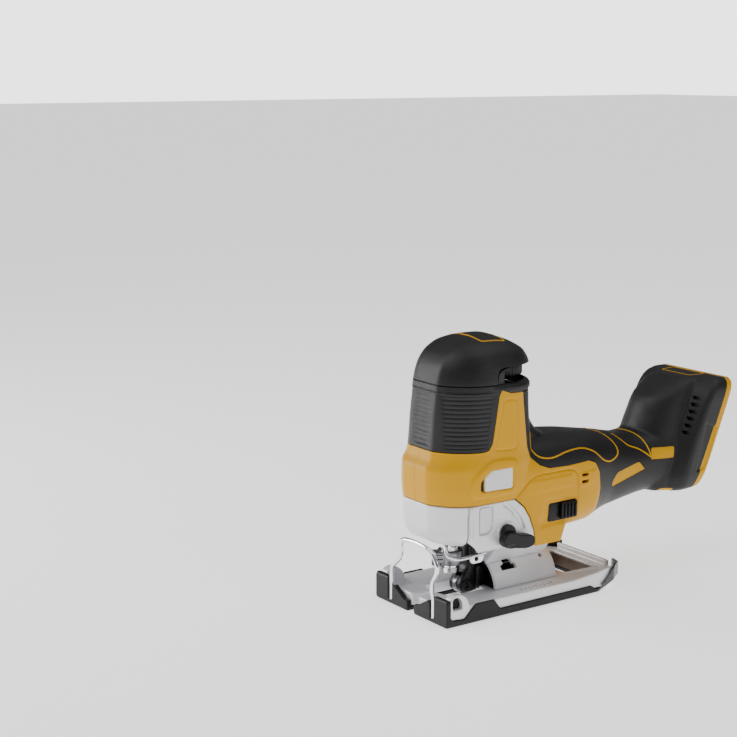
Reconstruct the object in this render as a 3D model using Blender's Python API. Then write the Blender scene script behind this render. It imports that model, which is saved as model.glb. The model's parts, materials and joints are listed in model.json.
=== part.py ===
"""Cordless barrel-grip jigsaw, modelled as separate pieces.

Frame: +Z up, the blade end faces -Y, +X is the tool's left side, and the origin is the centre of the
sole on the work surface. All sizes below are in millimetres and are scaled to metres by MM.
"""
import math

import bmesh
import bpy
from mathutils import Matrix, Vector

MM = 0.001
GAP = 0.35                      # clearance between neighbouring pieces

# ---- driving dimensions -------------------------------------------------------------------------
SHOE_HALF_WIDTH = 41.0
SHOE_FRONT, SHOE_REAR = -80.5, 80.5
SOLE_TOP = 3.0                  # thickness of the plastic sole cover
SHOE_FLOOR = 12.0               # top of the shoe casting's floor
SHOE_WALL = 13.0                # top of its side rim
POST_HEIGHT = 19.0
BEVEL_Z = 10.0                  # height of the bevel axis above the sole
SADDLE_RADIUS = 24.6
SADDLE_FRONT, SADDLE_REAR = -24.0, 32.0
BOLT_Y = -8.0
BEVEL_SWING = 56.0              # half the sweep of the saddle's slot, in degrees
ARCH_END = 51.5                 # where the case's arch stops, clear of the shoe at full bevel

BARREL_HALF_WIDTH = 36.0
BELLY_HALF_WIDTH = 36.6
RING_Z, SLEEVE_Z, SEAM_Z = 80.4, 116.3, 161.6
SHELL = 2.0                     # thickness of the rubber overmould
INNER = 4.4                     # outer surface to the inner surface of the housing
NOSE_WALL = 3.0
FOOT_LEAN = 0.411               # how far the battery face leans back per unit of height

STROKE = 26.0
PLUNGER_Y = -46.0
PLUNGER_RADIUS = 4.2
MOTOR_Z = 77.0
MODULE, GEAR_TEETH, PINION_TEETH = 1.0, 46, 7
GEAR_Z = MOTOR_Z + MODULE * (GEAR_TEETH + PINION_TEETH) / 2
GEAR_FRONT, GEAR_BACK = -29.0, -22.0
CRANK_Z = GEAR_Z - STROKE / 2

FORK_PIVOT = Vector((0, -30.5, 65.0))
ROLLER_CENTRE = Vector((0, -36.5, 13.0))
LEVER_PIVOT = Vector((0, -25.0, 57.5))
DIAL_CENTRE = Vector((0, -13.0, 165.5))
DIAL_RADIUS = 22.0
SWITCH_CENTRE = Vector((0, 31.5, 65.0))


# ---- scene helpers ------------------------------------------------------------------------------
def clear_scene():
    for obj in list(bpy.data.objects):
        bpy.data.objects.remove(obj, do_unlink=True)


def collection(name):
    made = bpy.data.collections.new(name)
    bpy.context.scene.collection.children.link(made)
    return made


def material(name, colour, roughness, metallic=0.0):
    made = bpy.data.materials.new(name)
    made.use_nodes = True
    shader = made.node_tree.nodes["Principled BSDF"]
    shader.inputs["Base Color"].default_value = (*colour, 1.0)
    shader.inputs["Roughness"].default_value = roughness
    shader.inputs["Metallic"].default_value = metallic
    return made


def put(name, mesh, finish, target=None):
    obj = bpy.data.objects.new(name, mesh)
    (target or PARTS).objects.link(obj)
    if finish:
        mesh.materials.append(finish)
    return obj


def from_bmesh(name, bm, finish, target=None):
    bmesh.ops.recalc_face_normals(bm, faces=bm.faces)
    mesh = bpy.data.meshes.new(name)
    bm.to_mesh(mesh)
    bm.free()
    return put(name, mesh, finish, target)


def box(name, low, high, finish=None, target=None, bevel=0.0):
    """A block between two corners, its edges rounded by bevel."""
    low, high = Vector(low), Vector(high)
    bm = bmesh.new()
    bmesh.ops.create_cube(bm, size=1.0)
    size, middle = (high - low) * MM, (high + low) * MM / 2
    bmesh.ops.scale(bm, vec=size, verts=bm.verts)
    bmesh.ops.translate(bm, vec=middle, verts=bm.verts)
    if bevel:
        bmesh.ops.bevel(bm, geom=bm.edges[:], offset=bevel * MM, segments=1, affect="EDGES")
    return from_bmesh(name, bm, finish, target)


def cylinder(name, start, end, radius, finish=None, target=None, sides=20, end_radius=None):
    start, end = Vector(start), Vector(end)
    bm = bmesh.new()
    bmesh.ops.create_cone(bm, cap_ends=True, segments=sides, radius1=radius * MM,
                          radius2=(radius if end_radius is None else end_radius) * MM,
                          depth=(end - start).length * MM)
    turn = Vector((0, 0, 1)).rotation_difference(end - start).to_matrix().to_4x4()
    place = Matrix.Translation((start + end) * MM / 2) @ turn
    bmesh.ops.transform(bm, matrix=place, verts=bm.verts)
    return from_bmesh(name, bm, finish, target)


def plate(name, outlines, axis, low, high, finish=None, target=None):
    """A flat outline (with optional holes) in the plane across axis, extruded from low to high."""
    curve = bpy.data.curves.new(name + "_outline", "CURVE")
    curve.dimensions = "2D"
    curve.fill_mode = "BOTH"
    curve.extrude = (high - low) * MM / 2
    for points in outlines:
        spline = curve.splines.new("POLY")
        spline.points.add(len(points) - 1)
        for point, (a, b) in zip(spline.points, points):
            point.co = (a * MM, b * MM, 0, 1)
        spline.use_cyclic_u = True
    guide = bpy.data.objects.new(name + "_outline", curve)
    CUTTERS.objects.link(guide)
    mesh = bpy.data.meshes.new_from_object(guide.evaluated_get(bpy.context.evaluated_depsgraph_get()))
    bpy.data.objects.remove(guide, do_unlink=True)
    bm = bmesh.new()
    bm.from_mesh(mesh)
    bmesh.ops.remove_doubles(bm, verts=bm.verts, dist=0.00001)
    middle = (low + high) / 2 * MM
    frames = {"X": Matrix(((0, 0, 1, middle), (1, 0, 0, 0), (0, 1, 0, 0), (0, 0, 0, 1))),
              "Y": Matrix(((1, 0, 0, 0), (0, 0, -1, middle), (0, 1, 0, 0), (0, 0, 0, 1))),
              "Z": Matrix(((1, 0, 0, 0), (0, 1, 0, 0), (0, 0, 1, middle), (0, 0, 0, 1)))}
    bmesh.ops.transform(bm, matrix=frames[axis], verts=bm.verts)
    bpy.data.meshes.remove(mesh)
    return from_bmesh(name, bm, finish, target)


def wire(name, points, radius, finish):
    """A bent round wire along a smooth curve through the points."""
    curve = bpy.data.curves.new(name, "CURVE")
    curve.dimensions = "3D"
    curve.bevel_depth = radius * MM
    curve.bevel_resolution = 2
    curve.use_fill_caps = True
    spline = curve.splines.new("POLY")
    spline.points.add(len(points) - 1)
    for point, place in zip(spline.points, points):
        point.co = (*(Vector(place) * MM), 1)
    guide = bpy.data.objects.new(name + "_path", curve)
    CUTTERS.objects.link(guide)
    mesh = bpy.data.meshes.new_from_object(guide.evaluated_get(bpy.context.evaluated_depsgraph_get()))
    bpy.data.objects.remove(guide, do_unlink=True)
    bm = bmesh.new()
    bm.from_mesh(mesh)
    bmesh.ops.remove_doubles(bm, verts=bm.verts, dist=0.00001)
    bpy.data.meshes.remove(mesh)
    return from_bmesh(name, bm, finish)


def boolean(obj, other, operation, keep=False):
    """Applies a Boolean with another mesh object, which is then removed unless kept."""
    modifier = obj.modifiers.new(operation.lower(), "BOOLEAN")
    modifier.operation = operation
    modifier.object = other
    bpy.context.view_layer.update()
    done = bpy.data.meshes.new_from_object(obj.evaluated_get(bpy.context.evaluated_depsgraph_get()))
    obj.modifiers.clear()
    old = obj.data
    obj.data = done
    bpy.data.meshes.remove(old)
    if not keep:
        bpy.data.objects.remove(other, do_unlink=True)
    return obj


def cut(obj, other, keep=False):
    return boolean(obj, other, "DIFFERENCE", keep)


def join(obj, other, keep=False):
    return boolean(obj, other, "UNION", keep)


def common(obj, other, keep=False):
    return boolean(obj, other, "INTERSECT", keep)


def duplicate(obj, name, finish=None, target=None):
    mesh = obj.data.copy()
    mesh.materials.clear()
    return put(name, mesh, finish, target or CUTTERS)


def tidy(obj):
    """Merges the slivers that Booleans leave and drops flat faces' extra points."""
    bm = bmesh.new()
    bm.from_mesh(obj.data)
    bmesh.ops.remove_doubles(bm, verts=bm.verts, dist=0.00002)
    bmesh.ops.dissolve_degenerate(bm, edges=bm.edges, dist=0.00001)
    bm.to_mesh(obj.data)
    bm.free()
    return obj


def finish_piece(obj, name, finish):
    """Turns a working solid into a named part."""
    for old in list(obj.users_collection):
        old.objects.unlink(obj)
    PARTS.objects.link(obj)
    obj.name = name
    obj.data.materials.clear()
    obj.data.materials.append(finish)
    return tidy(obj)


def arc(centre, radius, start, end, count):
    """Points on an arc in a plane, angles in degrees, both ends included."""
    turns = [math.radians(start + (end - start) * i / (count - 1)) for i in range(count)]
    return [(centre[0] + radius * math.cos(t), centre[1] + radius * math.sin(t)) for t in turns]


def circle(centre, radius, count=20):
    return arc(centre, radius, 0, 360 - 360 / count, count)


def loft(name, rings, finish=None, target=None):
    """A closed solid through rings of equal point counts."""
    bm = bmesh.new()
    rows = [[bm.verts.new(Vector(p) * MM) for p in ring] for ring in rings]
    count = len(rows[0])
    for lower, upper in zip(rows, rows[1:]):
        for i in range(count):
            j = (i + 1) % count
            bm.faces.new((lower[i], lower[j], upper[j], upper[i]))
    bm.faces.new(list(reversed(rows[0])))
    bm.faces.new(rows[-1])
    return from_bmesh(name, bm, finish, target or CUTTERS)


# ---- the outer form -----------------------------------------------------------------------------
FACET = 15.5                    # half width of the flat front facet of the barrel
BLEND_START = math.radians(22)  # where the facet's crease meets the curved flank
# height, front face, end of the front blend, half width, rear face
BARREL = [(62.0, -75.0, -46.0, 36.0, 6.0), (80.0, -75.4, -46.0, 36.2, 10.0),
          (92.0, -76.2, -45.0, 37.0, 12.0), (104.0, -75.2, -44.0, 36.9, 12.0),
          (111.0, -70.6, -42.0, 36.2, 11.6), (116.0, -69.3, -40.0, 35.9, 11.2),
          (142.0, -66.6, -38.0, 35.6, 9.0), (162.0, -64.6, -36.0, 35.2, 8.4),
          (172.0, -60.6, -34.0, 33.8, 8.8), (180.0, -54.6, -31.0, 30.6, 4.0),
          (186.0, -47.6, -29.0, 25.0, -5.0), (190.0, -39.6, -27.5, 16.5, -15.0),
          (192.0, -31.0, -26.5, 7.0, -21.0)]
# height, front face, end of the front blend, half width of the nose casting
NOSE = [(47.6, -59.0, -49.0, 26.0), (49.4, -65.5, -48.0, 30.5), (53.5, -71.0, -47.0, 34.0),
        (60.0, -74.2, -46.0, 35.4), (80.0, -75.0, -46.0, 35.6)]
# length, underside, top, half width, squareness of the belly and the handle
TAIL = [(-34.0, 50.0, 112.0, 33.0, 3.4), (-12.0, 42.8, 116.5, 36.0, 3.6),
        (22.0, 42.8, 116.0, 36.6, 3.6), (31.0, 46.6, 115.4, 36.6, 3.4),
        (58.0, 47.0, 113.2, 35.0, 3.0), (72.0, 49.0, 111.4, 30.5, 2.6),
        (86.0, 51.5, 109.2, 27.5, 2.4), (116.0, 56.5, 104.0, 26.5, 2.4),
        (134.0, 58.8, 106.0, 28.0, 2.6), (150.0, 61.0, 112.0, 29.0, 2.8)]
# height, battery face, side edge, nose, half width at the battery face, half width at the edge
FOOT = [(59.5, 153.0, 137.0, 126.0, 31.0, 25.0), (63.0, 161.5, 137.5, 123.0, 36.0, 28.5),
        (73.0, 167.0, 138.5, 122.0, 38.4, 30.0), (100.0, 178.1, 146.0, 124.0, 39.0, 30.5),
        (124.0, 188.0, 153.5, 133.0, 39.0, 30.5), (134.0, 191.6, 156.5, 137.4, 38.6, 30.0),
        (139.0, 193.2, 159.0, 144.0, 37.0, 28.0), (142.2, 193.6, 164.0, 152.0, 33.0, 24.0)]


def half_ring(front, blend, width, rear, facet, inset, steps=6):
    """Half a plan section of the barrel, from the facet round to the rear, at x >= 0."""
    front, width, rear = front + inset, width - inset, rear - inset
    facet = min(facet, width * 0.55)
    reach = (width - facet) / (1 - math.sin(BLEND_START))
    depth = (blend - front) / math.cos(BLEND_START)
    points = [(0.0, front)]
    for i in range(steps + 1):
        turn = BLEND_START + (math.pi / 2 - BLEND_START) * i / steps
        points.append((width - reach + reach * math.sin(turn), blend - depth * math.cos(turn)))
    round_depth = min(30.0, (rear - blend) * 0.8)
    for i in range(steps + 1):
        turn = math.pi / 2 * i / steps
        across = width * math.cos(turn) ** 0.86
        points.append((across, rear - round_depth + round_depth * math.sin(turn) ** 0.86))
    return points


def mirrored(half):
    """Closes a half section over x = 0; the first and last points lie on the plane."""
    return half + [(-x, y) for x, y in reversed(half[1:-1])]


def barrel_solid(name, inset):
    rings = []
    for z, front, blend, width, rear in BARREL:
        level = z - inset if z > 180 else z
        half = half_ring(front, blend, width, rear, FACET, inset)
        rings.append([(x, y, level) for x, y in mirrored(half)])
    return loft(name, rings)


def tail_solid(name, inset, count=28):
    rings = []
    for y, low, high, width, square in TAIL:
        low, high, width = low + inset, high - inset, width - inset
        middle, half = (low + high) / 2, (high - low) / 2
        ring = []
        for i in range(count):
            turn = 2 * math.pi * i / count
            x = width * abs(math.cos(turn)) ** (2 / square) * math.copysign(1, math.cos(turn))
            z = half * abs(math.sin(turn)) ** (2 / square) * math.copysign(1, math.sin(turn))
            ring.append((x, y, middle + z))
        rings.append(ring)
    return loft(name, rings)


def foot_line(z):
    """Where the battery face lies at a height."""
    return 165.0 + (z - 68.0) * FOOT_LEAN


def foot_solid(name, inset, overrun, steps=5):
    """The battery foot; overrun carries the solid past the battery face."""
    rings = []
    for z, rear, edge, nose, rear_width, edge_width in FOOT:
        level = min(max(z, FOOT[0][0] + inset), FOOT[-1][0] - inset)
        half = [(0.0, nose + inset)]
        for i in range(1, steps + 1):
            turn = math.pi / 2 * i / steps
            half.append(((edge_width - inset) * math.sin(turn),
                         edge + inset - (edge - nose) * math.cos(turn)))
        half.append((rear_width - inset, edge + 9.0))
        half.append((rear_width - inset, rear + overrun))
        half.append((0.0, rear + overrun))
        rings.append([(x, y, level) for x, y in mirrored(half)])
    return loft(name, rings)


def body_solid(name, inset, overrun=0.0):
    solid = barrel_solid(name, inset)
    join(solid, tail_solid("tail", inset))
    join(solid, foot_solid("foot", inset, overrun))
    return solid


# side outlines (y, z) of what the yellow housing, the rubber and the castings cover
CASE_ARC = [(-17.5, 80.0), (-9.0, 73.0), (-3.5, 64.5), (0.5, 54.0), (2.6, 43.0), (2.8, 20.0)]
GRIP_EDGE = [(62.5, 44.0), (63.5, 61.0), (64.6, 75.0), (63.0, 87.0), (58.5, 94.5), (52.0, 97.0),
             (30.0, 96.6), (13.6, 97.2), (5.0, 100.5), (-1.6, 106.5), (-5.6, 115.4), (-10.4, 154.2)]
YELLOW = ([(-90.0, RING_Z)] + [(y + 0.4, z + 0.3) for y, z in CASE_ARC] + GRIP_EDGE
          + [(-32.0, 154.2), (-38.2, SLEEVE_Z), (-90.0, SLEEVE_Z)])
HOUSING = ([(-90.0, RING_Z)] + [(y + 0.4, z + 0.3) for y, z in CASE_ARC]
           + [(220.0, 20.0), (220.0, 145.0), (120.0, 145.0), (60.0, 120.0), (20.0, 120.0),
              (20.0, SEAM_Z - GAP), (-90.0, SEAM_Z - GAP)])
SLEEVE = [(-90.0, SLEEVE_Z + GAP), (-38.5, SLEEVE_Z + GAP), (-32.4, 154.6), (30.0, 154.6),
          (30.0, SEAM_Z - GAP), (-90.0, SEAM_Z - GAP)]
RIM_DEPTH = 6.5


def rim_outline():
    low, high = foot_line(20.0), foot_line(160.0)
    return [(low - RIM_DEPTH, 20.0), (low + 6.0, 20.0), (high + 6.0, 160.0), (high - RIM_DEPTH, 160.0)]


def grip_outline():
    edge = [(y + GAP, z + (GAP if y > 0 else 0.0)) for y, z in GRIP_EDGE[:-1]]
    low, high = foot_line(20.0) - RIM_DEPTH - GAP, foot_line(160.0) - RIM_DEPTH - GAP
    return edge + [(-10.0, 153.9), (30.0, 153.9), (30.0, 125.0), (110.0, 125.0), (120.0, 160.0),
                   (high, 160.0), (low, 20.0), (62.9, 20.0)]


def side_prism(name, outline, low=-60.0, high=60.0):
    return plate(name, [outline], "X", low, high, target=CUTTERS)


def make_housing(outer, under, inner):
    """The two clamshell halves: bare where yellow shows, thinner under the rubber."""
    shell = duplicate(outer, "housing")
    shown = side_prism("shown", YELLOW)
    rim = side_prism("rim", rim_outline())
    band = duplicate(outer, "rim_band")
    common(band, rim)
    common(shell, shown)
    core = duplicate(under, "housing_core")
    common(core, side_prism("covered", HOUSING))
    join(shell, core)
    join(shell, band)
    cut(shell, inner, keep=True)
    for side in (1, -1):
        badge = box("badge_pocket", (side * 35.6, -49.4, 88.2), (side * 50, -19.8, 104.2))
        cut(shell, badge)
    track = box("track_pocket", (30, 13.2, 57.6), (50, 39.8, 71.9))
    cut(shell, track)
    dial = cylinder("dial_well", (0, -13.0, 158.4), (0, -13.0, 176.0), DIAL_RADIUS + 1.0)
    cut(shell, dial)
    bottom = box("case_room", (-60, -40, 10), (60, 26.3, 42.6))
    cut(shell, bottom)
    for name, side in (("housing_left", 1), ("housing_right", -1)):
        half = duplicate(shell, name)
        common(half, box("half", (side * 0.15, -100, 0), (side * 70, 220, 200)))
        finish_piece(half, name, YELLOW_PLASTIC)
    bpy.data.objects.remove(shell, do_unlink=True)


def make_skins(outer, under):
    """The rubber sleeve round the barrel and the two halves of the handle's overmould."""
    skin = duplicate(outer, "skin")
    hollow = duplicate(under, "hollow")
    cut(skin, hollow)
    sleeve = duplicate(skin, "barrel_sleeve")
    common(sleeve, side_prism("sleeve_area", SLEEVE))
    cut(sleeve, cylinder("dial_well", (0, -13.0, 158.4), (0, -13.0, 176.0), DIAL_RADIUS + 1.0))
    finish_piece(sleeve, "barrel_sleeve", BLACK_RUBBER)
    common(skin, side_prism("grip_area", grip_outline()))
    for name, side in (("grip_left", 1), ("grip_right", -1)):
        half = duplicate(skin, name)
        common(half, box("half", (side * 0.15, -100, 0), (side * 70, 220, 200)))
        finish_piece(half, name, BLACK_RUBBER)
    bpy.data.objects.remove(skin, do_unlink=True)


def make_cap(outer, inner):
    cap = duplicate(outer, "top_cap")
    common(cap, box("cap_area", (-60, -90, SEAM_Z), (60, 40, 210)))
    cut(cap, inner, keep=True)
    window = box("dial_window", (-27.0, -20.0, 159.0), (27.0, 30.0, 172.4))
    cut(cap, window)
    finish_piece(cap, "top_cap", BLACK_RUBBER)


def make_castings():
    """The front cover and the gear case, both aluminium castings."""
    rings, hollow = [], []
    for z, front, blend, width in NOSE:
        outer = half_ring(front, blend, width, -20.0, FACET, 0.0)
        rings.append([(x, y, z - GAP) for x, y in mirrored(outer)])
        thin = half_ring(front, blend, width, -20.0, FACET, NOSE_WALL)
        level = z + (NOSE_WALL if z < 50 else 0.0) + (1.0 if z > 79 else 0.0)
        hollow.append([(x, y, level) for x, y in mirrored(thin)])
    cover = loft("front_cover", rings)
    cut(cover, loft("cover_room", hollow))
    cut(cover, box("behind", (-60, -51.0, 20), (60, 0, 100)))
    cut(cover, box("clamp_opening", (-17, -61.0, 40), (17, -45, 55)))
    finish_piece(cover, "front_cover", ALUMINIUM)

    half = [(35.5, 95.0), (35.5, 47.4), (25.1, 39.9), (18.6, 32.6)]
    arch = arc((0, BEVEL_Z), SADDLE_RADIUS + 0.5, 180 - ARCH_END, ARCH_END, 13)
    section = [(-x, z) for x, z in half] + arch + half[::-1]
    case = plate("gear_case", [section], "Y", -50.6, 25.6, target=CUTTERS)
    top = RING_Z - 2 * GAP
    rear_edge = [(2.3, 42.0), (0.1, 54.0), (-3.9, 64.5), (-9.4, 73.0), (-17.9, top)]
    outline = [(-50.6, top), (-50.6, 52.9), (-46.0, 45.6), (-36.6, 38.1), (-28.1, 30.0), (-24.0, 20.0),
               (26.0, 20.0), (26.0, 42.0)] + rear_edge
    common(case, plate("case_area", [outline], "X", -60, 60, target=CUTTERS))
    cut(case, box("case_room", (-31.5, -60, 46.4), (31.5, 40, 100)))
    cut(case, box("clamp_room", (-31.5, -60, 20), (31.5, -26.6, 60)))
    cut(case, cylinder("lever_bore", (25, *LEVER_PIVOT.yz), (45, *LEVER_PIVOT.yz), 4.4))
    cut(case, cylinder("bolt_bore", (0, BOLT_Y, 20), (0, BOLT_Y, 60), 3.4))
    finish_piece(case, "gear_case", ALUMINIUM)


# ---- drive train --------------------------------------------------------------------------------
def gear_outline(teeth, centre, phase, tooth=0.36, addendum=0.62, dedendum=1.05):
    """Straight-sided teeth; phase turns the first tooth, counted anticlockwise from +x."""
    pitch = 2 * math.pi / teeth
    radius = MODULE * teeth / 2
    points = []
    for i in range(teeth):
        middle = phase + i * pitch
        for share, reach in ((-0.62, -dedendum), (-tooth / 2 - 0.06, 0.0), (-tooth / 4, addendum),
                             (tooth / 4, addendum), (tooth / 2 + 0.06, 0.0), (0.62, -dedendum)):
            if abs(share) > 0.6:
                share = math.copysign(tooth / 2 + 0.1, share)
            turn = middle + share * pitch
            far = radius + reach * MODULE
            points.append((centre[0] + far * math.cos(turn), centre[1] + far * math.sin(turn)))
    return points


def make_motor():
    up = math.pi / 2
    plate("motor_stator", [circle((0, MOTOR_Z), 23.0, 28), circle((0, MOTOR_Z), 12.6, 20)],
          "Y", 4.0, 34.0, STEEL)
    plate("motor_rotor", [circle((0, MOTOR_Z), 12.0, 20), circle((0, MOTOR_Z), 2.9, 12)],
          "Y", 5.0, 33.0, STEEL)
    shaft = plate("pinion_shaft", [gear_outline(PINION_TEETH, (0, MOTOR_Z), up)], "Y",
                  GEAR_FRONT, GEAR_BACK, STEEL)
    join(shaft, cylinder("shaft", (0, GEAR_BACK - 0.5, MOTOR_Z), (0, 62.0, MOTOR_Z), 2.4, sides=12))
    tidy(shaft)
    blades = []
    for i in range(9):
        for share, reach in ((0.0, 8.0), (0.12, 20.5), (0.34, 20.5), (0.42, 8.0)):
            turn = 2 * math.pi * (i + share) / 9
            blades.append((reach * math.cos(turn), MOTOR_Z + reach * math.sin(turn)))
    fan = plate("cooling_fan", [blades, circle((0, MOTOR_Z), 2.9, 12)], "Y", 39.0, 47.0, DARK_PLASTIC)
    join(fan, plate("fan_disc", [circle((0, MOTOR_Z), 21.0, 28), circle((0, MOTOR_Z), 2.9, 12)], "Y",
                    46.0, 48.4, target=CUTTERS))
    tidy(fan)
    plate("front_bearing", [circle((0, MOTOR_Z), 8.0), circle((0, MOTOR_Z), 2.8, 12)], "Y",
          -12.0, -7.0, BRIGHT_STEEL)
    plate("rear_bearing", [circle((0, MOTOR_Z), 7.5), circle((0, MOTOR_Z), 2.8, 12)], "Y",
          54.0, 59.0, BRIGHT_STEEL)
    plate("motor_end_plate", [circle((0, MOTOR_Z), 22.0, 28), circle((0, MOTOR_Z), 7.9)], "Y",
          51.0, 56.0, DARK_PLASTIC)


def make_drive():
    down = -math.pi / 2
    half_tooth = math.pi / GEAR_TEETH
    centre = (0, GEAR_Z)
    gear = plate("drive_gear", [gear_outline(GEAR_TEETH, centre, down + half_tooth),
                                circle(centre, 4.3, 16)], "Y", GEAR_FRONT, GEAR_BACK, STEEL)
    cut(gear, cylinder("pin_seat", (0, -36, CRANK_Z), (0, -20, CRANK_Z), 2.9, sides=16))
    tidy(gear)
    cylinder("crank_pin", (0, -35.8, CRANK_Z), (0, GEAR_BACK, CRANK_Z), 2.5, BRIGHT_STEEL, sides=16)
    cylinder("gear_shaft", (0, -30.0, GEAR_Z), (0, -6.0, GEAR_Z), 4.0, BRIGHT_STEEL, sides=16)
    plate("gear_bearing", [circle(centre, 9.0), circle(centre, 4.4, 16)], "Y", -12.0, -7.0, BRIGHT_STEEL)
    plate("gear_plate", [[(-27, 52), (27, 52), (28, 60), (28, 122), (20, 130), (-20, 130), (-28, 122),
                          (-28, 60)], circle(centre, 9.4), circle((0, MOTOR_Z), 8.4)],
          "Y", -12.0, -8.0, ALUMINIUM)
    weight = [(-22, 88), (-15, 88), (-15, 123), (15, 123), (15, 88), (22, 88), (22, 136), (-22, 136)]
    plate("counterweight", [weight], "Y", -20.5, -14.5, STEEL)


def make_plunger():
    rod = (0, PLUNGER_Y)
    cylinder("plunger", (*rod, 46.4), (*rod, 136.0), PLUNGER_RADIUS, BRIGHT_STEEL, sides=20)
    low, high = CRANK_Z - 6.0, CRANK_Z + 6.0
    yoke = box("yoke", (-19, -40.4, low), (19, -36.2, high), STEEL)
    join(yoke, box("yoke_hub", (-8, -52, low), (8, -39, high)))
    cut(yoke, cylinder("rod_bore", (*rod, low - 5), (*rod, high + 5), PLUNGER_RADIUS + 0.3))
    cut(yoke, box("yoke_slot", (-16, -40.8, CRANK_Z - 3.2), (16, -30, CRANK_Z + 3.2)))
    tidy(yoke)
    window = [(-23, 81.5), (23, 81.5), (23, 124.5), (-23, 124.5)]
    frame = plate("crosshead_frame", [[(-27, 74), (27, 74), (27, 133), (-27, 133)], window], "Y",
                  -53.0, -38.8, ALUMINIUM)
    cut(frame, cylinder("bush_bore", (*rod, 60), (*rod, 150), 6.9))
    tidy(frame)
    for name, low, high in (("lower_bush", 74.0, 81.5), ("upper_bush", 124.5, 133.0)):
        plate(name, [circle(rod, 6.5), circle(rod, PLUNGER_RADIUS + 0.3)], "Z", low, high, BRASS)


def make_blade_clamp():
    rod = (0, PLUNGER_Y)
    body = cylinder("blade_clamp", (*rod, 23.5), (*rod, 46.0), 7.0, BRIGHT_STEEL, sides=20)
    cut(body, box("blade_slot", (-0.9, -50.5, 20), (0.9, -41.5, 38)))
    tidy(body)
    ring = [(8.9 * math.cos(t), PLUNGER_Y + 8.9 * math.sin(t))
            for t in (math.radians(a) for a in range(-60, 241, 15))]
    tab = [(-6.5, -57.5), (2.0, -60.0), (4.5, -57.0)]
    plate("clamp_lever", [ring + tab, circle(rod, 7.3)], "Z", 29.0, 40.0, BRIGHT_STEEL)


def make_orbital():
    y, z = FORK_PIVOT.yz
    fork = plate("roller_fork", [[(-33.0, 69.4), (-28.0, 69.4), (-28.0, 18.0), (-29.5, 10.0),
                                  (-38.5, 10.0), (-38.5, 16.0), (-33.0, 21.0)],
                                 circle((y, z), 2.6, 14)], "X", -5.4, 5.4, BLACK_METAL)
    cut(fork, box("roller_room", (-2.6, -46, 0), (2.6, -29.6, 21.5)))
    cut(fork, cylinder("roller_pin_bore", (-9, *ROLLER_CENTRE.yz), (9, *ROLLER_CENTRE.yz), 1.9, sides=12))
    tidy(fork)
    cylinder("fork_pin", (-31.0, y, z), (31.0, y, z), 2.2, BRIGHT_STEEL, sides=14)
    roller = cylinder("guide_roller", (-2.2, *ROLLER_CENTRE.yz), (2.2, *ROLLER_CENTRE.yz), 6.2, STEEL)
    cut(roller, cylinder("roller_bore", (-9, *ROLLER_CENTRE.yz), (9, *ROLLER_CENTRE.yz), 1.95, sides=12))
    cylinder("roller_pin", (-5.2, *ROLLER_CENTRE.yz), (5.2, *ROLLER_CENTRE.yz), 1.6, BRIGHT_STEEL, sides=12)
    y, z = LEVER_PIVOT.yz
    cylinder("orbital_shaft", (-4.0, y, z), (35.8, y, z), 2.3, STEEL, sides=14)
    paddle = [(-32.5, 60.5), (-28.0, 63.4), (-22.0, 62.6), (-18.0, 58.6), (-5.5, 56.2), (-3.2, 52.0),
              (-6.0, 47.2), (-24.0, 47.6), (-31.4, 52.4), (-33.4, 56.5)]
    lever = plate("orbital_lever", [paddle], "X", 37.6, 44.6, BLACK_PLASTIC)
    join(lever, cylinder("lever_boss", (35.9, y, z), (38.6, y, z), 6.0, sides=16))
    tidy(lever)


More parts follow.
